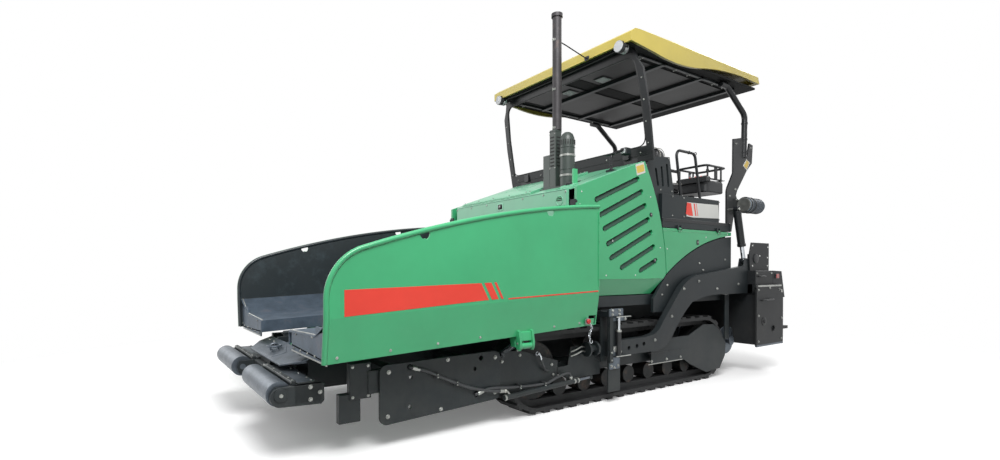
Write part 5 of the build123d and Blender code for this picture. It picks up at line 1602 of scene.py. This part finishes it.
class PAVER_OT_canopy_frame(bpy.types.Operator):
    """Draw the leaning front frame and the bent rear hoops that carry the canopy"""

    bl_idname = "paver.canopy_supports"
    bl_label = "Canopy supports"

    def execute(self, context):
        front = Piece()
        edge = [(1262, -18), (1272, 560), (1245, 1004), (1186, 1116), (1142, 1248)]
        window = [(-1185, 157), (1185, 157), (1185, 700), *rounded_corner((1185, 700), (1140, 1157),
            (-1140, 1157), 118), *rounded_corner((1140, 1157), (-1140, 1157), (-1185, 700), 118),
            (-1185, 700)]
        front.cut([edge + [(-x, s) for x, s in reversed(edge)], window], 1, 0, 30, "black_paint")
        for point in front.points:
            point.xyz = on_frame(point.x, point.z, -point.y)
        for x in (-1050, 850):
            front.box((x, x + 200), (642, 670), (2001, 2690), "black_paint", 3)
        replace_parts(front.finish("canopy_front_frame"), "front_frame")
        back = Piece()
        line = bent([(1130, 2822, 2940), (1130, 2845, 3527), (1130, 2385, 3841), (1130, 2240, 3841)],
            (120, 100))
        back.tube(line, 38, "black_paint", 20)
        back.plate([(2381, 1901), (2500, 1901), (2560, 2130), (2650, 2330), (2612, 2400), (2640, 2465),
            (2883, 2759), (3023, 2881), (3046, 3139), (2955, 3154), (2905, 2960), (2862, 2985),
            (2862, 3140), (2741, 3200), (2545, 3160), (2540, 2700), (2500, 2640), (2400, 2490),
            (2381, 2440)], 0, 1118, 1142, "black_paint", 2)
        back.plate([(2540, 2132), (2700, 2180), (2760, 2250), (2760, 2320), (2640, 2360), (2560, 2330)], 0,
            1119, 1141, "black_paint", 2)
        back.turned((1141, 2425, 2190), LEFT, [(20, 0), (20, 148), (17, 152)], "zinc", 24)
        # round tank on its two bands
        back.turned((1230, 2640, 2265), REAR, [(60, 0), (88, 4), (102, 22), (102, 362), (88, 380),
            (84, 384), (84, 400)], "worn_steel", 40)
        for y in (2660, 2760):
            back.turned((1230, y, 2265), REAR, [(103, 0), (110, 2), (110, 22), (103, 24)], "dark_paint", 40)
        back.mirror()
        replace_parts(back.finish("canopy_rear_hoops"), "rear_hoops")
        liner = Piece()
        for y in (1100, 1900, 2640):
            liner.box((-1080, 1080), (y - 30, y + 30), (3846, 3880.5), "dark_paint", 3)
        for x in (-1060, 1060):
            liner.box((x - 20, x + 20), (640, 2660), (3856, 3880.5), "dark_paint", 3)
        liner.finish("canopy_beams")
        return {"FINISHED"}


class PAVER_OT_station(bpy.types.Operator):
    """Draw the operator's desk, the side shields with their slots and the bent handrails"""

    bl_idname = "paver.station"
    bl_label = "Station"

    def execute(self, context):
        shield = Piece()
        slots = [slot_outline(*ends, 18, 20) for ends in ((884, 2385, 842, 2560), (976, 2385, 950, 2590),
            (1084, 2385, 1050, 2630))]
        shield.cut([[(625, 2001), (625, 2626), (692, 2626), (692, 2668), (759, 2702), (1103, 2734),
            (1190, 2314), (1168, 2286), (900, 2286), (900, 2001)], *slots], 0, 1130, 1155, "dark_paint")
        shield.mirror()
        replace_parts(shield.finish("station_shields"), "station_sides")
        rail = Piece()
        line = bent([(1110, 1398, 2284), (1110, 1294, 2855), (1110, 1690, 2855), (1110, 1810, 2284)],
            (70, 70))
        rail.tube(line, 17, "black_paint", 16)
        for y in (1398, 1810):
            rail.turned((1110, y, 2285), UP, [(32, 0), (34, 2), (34, 8), (20, 11)], "black_paint", 24)
        rail.mirror()
        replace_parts(rail.finish("station_rails"), "handrails")
        desk = Piece()
        desk.box((-900, 760), (2170, 2240), (2370, 2425), "dark_paint", 4)
        for x in (-400, 340):
            desk.box((x, x + 60), (2150, 2260), (2001, 2400), "dark_paint", 3)
        tub = rounded([(725, 1930), (1125, 1930), (1125, 2350), (725, 2350)], 70, 6)
        desk.plate(tub, 2, 2400, 2545, "dark_plastic", 12)
        desk.box((700, 1150), (1900, 1985), (2530, 2594), "dark_plastic", 10)
        desk.box((745, 1105), (1980, 2330), (2543, 2556), "dark_paint", 3)
        for z, grow, thick in ((2575, 0, 11), (2740, 16, 15)):
            x0, x1, y0, y1 = 735 - grow, 1115 + grow, 1935 - grow, 2345 + grow
            ring = [(*p, z) for p in rounded([(x0, y0), (x1, y0), (x1, y1), (x0, y1)], 60, 5)]
            desk.tube(ring + [ring[0]], thick, "black_paint", 12)
        for x, y, wide in ((724, 1950, 26), (1126, 1950, 26), (724, 2180, 40), (1126, 2140, 60),
                (1126, 2262, 26), (724, 2262, 26)):
            desk.box((x - 7, x + 7), (y - wide / 2, y + wide / 2), (2562, 2742), "black_paint", 2)
        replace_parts(desk.finish("operator_desk"), "console")
        return {"FINISHED"}


class PAVER_OT_hood_lids(bpy.types.Operator):
    """Add the hood's raised lids, the bent post with its box, and draw the silencer's housing"""

    bl_idname = "paver.hood_lids"
    bl_label = "Hood lids and silencer"

    def execute(self, context):
        lids = Piece()
        for x0, x1, y0, y1, high in ((-1010, 400, -430, 520, 26), (880, 1060, -430, -330, 20)):
            side = [(y0, hood_top(y0) - 4), (y0, hood_top(y0) + high - 10), (y0 + 14,
                hood_top(y0 + 14) + high), (y1 - 14, hood_top(y1 - 14) + high),
                (y1, hood_top(y1) + high - 10), (y1, hood_top(y1) - 4)]
            lids.plate(side, 0, x0, x1, "hood_paint", 4)
        lids.box((962, 990), (-330, -270), (hood_top(-330) - 8, 2470), "green_paint", 3)
        foot = hood_top(250)
        line = bent([(1000, 250, foot - 10), (1000, 250, 2690), (1000, 470, 2770)], (60,))
        lids.tube(line, 15, "black_paint", 14)
        lids.tube([(930, 250, 2690), (1060, 250, 2690)], 13, "black_paint", 12)
        lids.box((955, 1045), (455, 540), (2715, 2790), "dark_paint", 6)
        lids.box((950, 1050), (215, 285), (foot - 20, foot + 14), "dark_paint", 3)
        # half round grille beside the stack: a black plate of painted shade behind its green bars
        half = arc((948, 2120), 48, range(0, 181, 12))
        lids.plate(half, 1, -501.5, -497, "seam_black", 0.5)
        for z in (2126, 2144, 2158):
            reach = math.sqrt(48 ** 2 - (z - 2120) ** 2) - 3
            lids.box((948 - reach, 948 + reach), (-504, -500), (z, z + 8), "green_paint", 1)
        lids.finish("hood_lids")
        case = Piece()
        case.box((549, 647), (-272, -172), (2262, 2973), "exhaust_paint", 6)
        case.box((441, 551), (-270, -200), (2265, 2700), "exhaust_paint", 5)
        case.plate([(-310, hood_top(-310) - 6), (-310, hood_top(-310) + 12), (-120, hood_top(-120) + 12),
            (-120, hood_top(-120) - 6)], 0, 430, 890, "exhaust_paint", 2)
        dome = [(82, 2290), (82, 2790), (81, 2815), (76, 2850), (60, 2890), (34, 2911), (8, 2916)]
        case.turned((*SILENCER, 0), UP, dome, "exhaust_paint", 48)
        for z in (2420, 2640):
            case.turned((*SILENCER, z), UP, [(82.5, 0), (87, 2), (87, 24), (82.5, 26)], "zinc", 48)
        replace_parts(case.finish("silencer_housing"), "exhaust_casing")
        return {"FINISHED"}


class PAVER_OT_front_gear(bpy.types.Operator):
    """Draw the front apron, and the boxes, bars and cylinder of the push beam and the side plates"""

    bl_idname = "paver.front_gear"
    bl_label = "Front gear"

    def execute(self, context):
        apron = Piece()
        plan = [(-740, -3010.3), (740, -3010.3), (740, -3130), (560, -3252), (-560, -3252), (-740, -3130)]
        tray = [(-190, -3235), (-260, -3120), (0, -3050), (260, -3120), (190, -3235)]
        for outline, low, high in ((plan, 690, 706), (tray, 699, 711)):
            first = len(apron.points)
            apron.plate(outline, 2, low, high, "worn_steel", 2)
            for point in apron.points[first:]:
                point.z += (point.y + 3010) * 0.339
        for x in (-505, -170, 150, 485):
            apron.plate([(-3011, 601), (-3011, 692), (-3230, 616), (-3230, 607), (-3080, 601)], 0, x,
                x + 20, "worn_steel")
        apron.box((-26, 26), (-3190, -3130), (640, 664), "worn_steel", 3)
        apron.ring((0, -3160, 690), LEFT, 34, 10, "worn_steel", 36, 12)
        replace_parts(apron.finish("apron_shell"), "front_apron")
        beam = Piece()
        nose = [(-3100, 560), (-3390, 560), *arc((-3390, 489), 71, range(105, 256, 15)), (-3390, 418),
            (-3100, 406), (-3078, 430), (-3078, 560)]
        beam.plate(nose, 0, 1104.5, 1150, "dark_paint", 3)
        beam.boxes("dark_paint", 3, (230, 1104, -3305, -3270, 556, 588),
            (230, 1104, -3262, -3130, 556, 570))
        beam.mirror().finish("push_beam_boxes", "push_beam")
        side = Piece()
        side.plate([(-1600, 236), (-1290, 250), (-780, 330), (-780, 500), (-1250, 640), (-1600, 655)], 0,
            1204, 1216, "dark_paint", 2)
        side.plate([(-790, 372), (-640, 300), (-175, 300), (-175, 430), (-250, 470), (-250, 600),
            (-600, 620), (-640, 440), (-790, 432)], 0, 1204, 1216, "dark_paint", 2)
        for y, z in ((-1440, 246), (-600, 289)):
            side.box((1210, 1275), (y - 22, y + 22), (z - 24, z + 24), "dark_paint", 3)
        side.tube([(1272, -1490, 243), (1272, -1486, 243.2), (1272, -564, 290.8), (1272, -560, 291)],
            [21, 24, 24, 21], "dark_paint", 24)
        side.tube([(1272, -560, 291), (1272, -380, 300)], 13, "worn_steel", 16)
        side.turned((1272, -380, 284), UP, [(20, 0), (22, 2), (22, 32), (20, 34)], "dark_paint", 24)
        for y, length, radius in ((-452, 22, 74), (-440, 140, 34), (-334, 26, 74), (-312, 22, 44)):
            side.turned((1278, y, 588), REAR, [(radius - 3, 0), (radius, 3), (radius, length - 3),
                (radius - 3, length)], "dark_paint", 36)
        side.box((1210, 1250), (-420, -340), (560, 612), "dark_paint", 3)
        side.boxes("dark_paint", 5, (1140, 1204, -2903, -2729, 410, 686),
            (1120, 1190, -2980, -2812, 236, 456))
        side.box((1150, 1217), (-2760, -2600), (440, 620), "dark_paint", 4)
        side.mirror().finish("side_gear")
        return {"FINISHED"}


class PAVER_OT_screed_mounts(bpy.types.Operator):
    """Draw the boxes and plates at the rear ends of the tow arms, and the screed's leaning front sheet"""

    bl_idname = "paver.screed_mounts"
    bl_label = "Screed mounts"

    def execute(self, context):
        mount = Piece()
        mount.box((1196, 1396), (2640, 3100), (1075, 1376), "screed_paint", 6)
        mount.boxes("screed_paint", 5, (1196, 1396, 2900, 3180, 1075, 1180),
            (1300, 1390, 3090, 3180, 1120, 1300))
        mount.plate([(2660, 1370), (3160, 1370), (3160, 1755), (2690, 1755), (2640, 1600)], 0, 1298, 1312,
            "screed_paint", 2)
        mount.plate([(3090, 1080), (3268, 1080), (3268, 994), (3435, 1001), (3340, 1368), (3100, 1376)], 0,
            1386, 1398, "screed_paint", 2)
        for y in (2700, 3040):
            mount.box((1250, 1299), (y, y + 20), (1370, 1600), "screed_paint", 2)
        mount.plate([(2560, 1150), (3240, 1150), (3240, 1189), (2560, 1189)], 0, 1412, 1446, "screed_paint",
            3)
        mount.mirror().finish("screed_mounts", "screed")
        return {"FINISHED"}


def seen_directly(tree):
    """1 for a ray that shows a surface to the eye, straight, in a gloss or through glass, else 0."""
    path = add_node(tree, "ShaderNodeLightPath").outputs
    return math_node(tree, "MAXIMUM", path["Is Camera Ray"], math_node(tree, "MAXIMUM",
        path["Is Glossy Ray"], path["Is Transmission Ray"]))


def paint_floor():
    """A floor that meets the white background for whatever sees it, and keeps the machine's shadow."""
    tree, shader = new_material("pale_floor")
    seen = seen_directly(tree)
    white = (1, 1, 1, 1)
    feed(tree, shader, {"Roughness": 0.9, "Emission Color": white,
        "Emission Strength": times(tree, seen, 0.16), "Base Color": mix_colour(tree, seen, (0.1, 0.1, 0.1),
        (0.97, 0.97, 0.97))})
    reach = add_node(tree, "ShaderNodeVectorMath", {0: object_place(tree)},
        operation="LENGTH").outputs["Value"]
    far = times(tree, ramp_node(tree, reach, 4.5, 8.0), seen)
    glow = add_node(tree, "ShaderNodeEmission", {"Color": white}).outputs["Emission"]
    blend = add_node(tree, "ShaderNodeMixShader", {"Fac": far, 1: shader.outputs["BSDF"], 2: glow})
    feed(tree, tree.nodes["Material Output"], {"Surface": blend.outputs["Shader"]})


def light_world():
    """A white studio world that lights the machine less than it shows."""
    world = bpy.data.worlds.new("studio")
    world.use_nodes = True
    tree = world.node_tree
    strength = add_node(tree, "ShaderNodeMapRange", {"Value": seen_directly(tree), "To Min": 0.4,
        "To Max": 1.0})
    feed(tree, tree.nodes["Background"], {"Strength": strength.outputs["Result"], "Color": (1, 1, 1, 1)})
    return world


def hang_lamp(name, place, aim, size, power):
    """A round lamp that shines from a place at a point, both in metres."""
    data = bpy.data.lights.new(name, "AREA")
    data.shape = "DISK"
    data.size = size
    data.energy = power
    lamp = bpy.data.objects.new(name, data)
    turn = (Vector(aim) - Vector(place)).to_track_quat("-Z", "Y").to_matrix().to_4x4()
    lamp.matrix_world = Matrix.Translation(place) @ turn
    bpy.context.scene.collection.objects.link(lamp)


def set_camera():
    """The camera at the photograph's place, turn and frame."""
    yaw, pitch, roll = math.radians(55.5046), math.radians(-0.7597), math.radians(-0.1231)
    ahead = Vector((-math.sin(yaw) * math.cos(pitch), math.cos(yaw) * math.cos(pitch), math.sin(pitch)))
    right = Vector((math.cos(yaw), math.sin(yaw), 0))
    up = right.cross(ahead)
    turned_right = math.cos(roll) * right + math.sin(roll) * up
    turned_up = -math.sin(roll) * right + math.cos(roll) * up
    data = bpy.data.cameras.new("camera")
    data.sensor_width = 36
    data.lens = 18.564
    data.shift_x = 0.02634
    data.shift_y = 0.0471
    data.clip_end = 200
    camera = bpy.data.objects.new("camera", data)
    turn = Matrix((turned_right, turned_up, -ahead)).transposed().to_4x4()
    camera.matrix_world = Matrix.Translation((4.916, -4.322, 1.389)) @ turn
    bpy.context.scene.collection.objects.link(camera)
    bpy.context.scene.camera = camera


class PAVER_OT_stage(bpy.types.Operator):
    """Lay the floor, hang the lights and set the camera as the photograph has it"""

    bl_idname = "paver.stage"
    bl_label = "Stage"

    def execute(self, context):
        ground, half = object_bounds()[0][2], 60
        mesh = bpy.data.meshes.new("floor")
        corners = [(x, y, ground) for x, y in oblong((-half, half), (-half, half))]
        mesh.from_pydata(corners, [], [(0, 1, 2, 3)])
        floor = bpy.data.objects.new("floor", mesh)
        context.scene.collection.objects.link(floor)
        paint_floor()
        mesh.materials.append(FINISHES["pale_floor"])
        floor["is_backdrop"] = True
        context.scene.world = light_world()
        hang_lamp("key", (5.5, -3.5, 8.0), (0, 0, 1.2), 5.0, 880)
        hang_lamp("fill", (-7.0, -6.0, 5.0), (0, 0, 1.2), 6.0, 190)
        hang_lamp("back", (0.0, 8.0, 6.5), (0, 1, 1.5), 5.0, 260)
        set_camera()
        context.scene.view_settings.view_transform = "Standard"
        return {"FINISHED"}


class PAVER_PT_panel(bpy.types.Panel):
    """Lists the steps that dress the paver"""

    bl_label = "Asphalt paver"
    bl_idname = "PAVER_PT_panel"
    bl_space_type = "VIEW_3D"
    bl_region_type = "UI"
    bl_category = "Paver"

    def draw(self, context):
        layout = self.layout
        for group in (context.scene.paver_paints, context.scene.paver_sizes):
            for key in group.__annotations__:
                layout.prop(group, key)
        for operator in STEPS:
            layout.operator(operator.bl_idname)


STEPS = (PAVER_OT_finishes, PAVER_OT_stage, PAVER_OT_wings, PAVER_OT_canopy_frame, PAVER_OT_station,
    PAVER_OT_hood_lids, PAVER_OT_front_gear, PAVER_OT_screed_mounts, PAVER_OT_stripes, PAVER_OT_wing_trim,
    PAVER_OT_hoses, PAVER_OT_push_bar_trim, PAVER_OT_tow_guide_trim, PAVER_OT_guard_trim,
    PAVER_OT_hood_trim, PAVER_OT_door_trim, PAVER_OT_platform_trim, PAVER_OT_seats, PAVER_OT_canopy_trim,
    PAVER_OT_exhaust_trim, PAVER_OT_console_trim, PAVER_OT_frame_trim, PAVER_OT_screed_trim,
    PAVER_OT_augers, PAVER_OT_cylinders, PAVER_OT_bolts,)
CLASSES = (PaverPaints, PaverSizes, *STEPS, PAVER_PT_panel)


def register():
    for item in CLASSES:
        bpy.utils.register_class(item)
    bpy.types.Scene.paver_paints = PointerProperty(type=PaverPaints)
    bpy.types.Scene.paver_sizes = PointerProperty(type=PaverSizes)


def unregister():
    del bpy.types.Scene.paver_paints
    del bpy.types.Scene.paver_sizes
    for item in reversed(CLASSES):
        bpy.utils.unregister_class(item)


def main():
    """Registers the add-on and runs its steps."""
    register()
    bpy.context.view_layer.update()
    for operator in STEPS:
        group, step = operator.bl_idname.split(".")
        getattr(getattr(bpy.ops, group), step)()


if __name__ == "__main__":
    main()
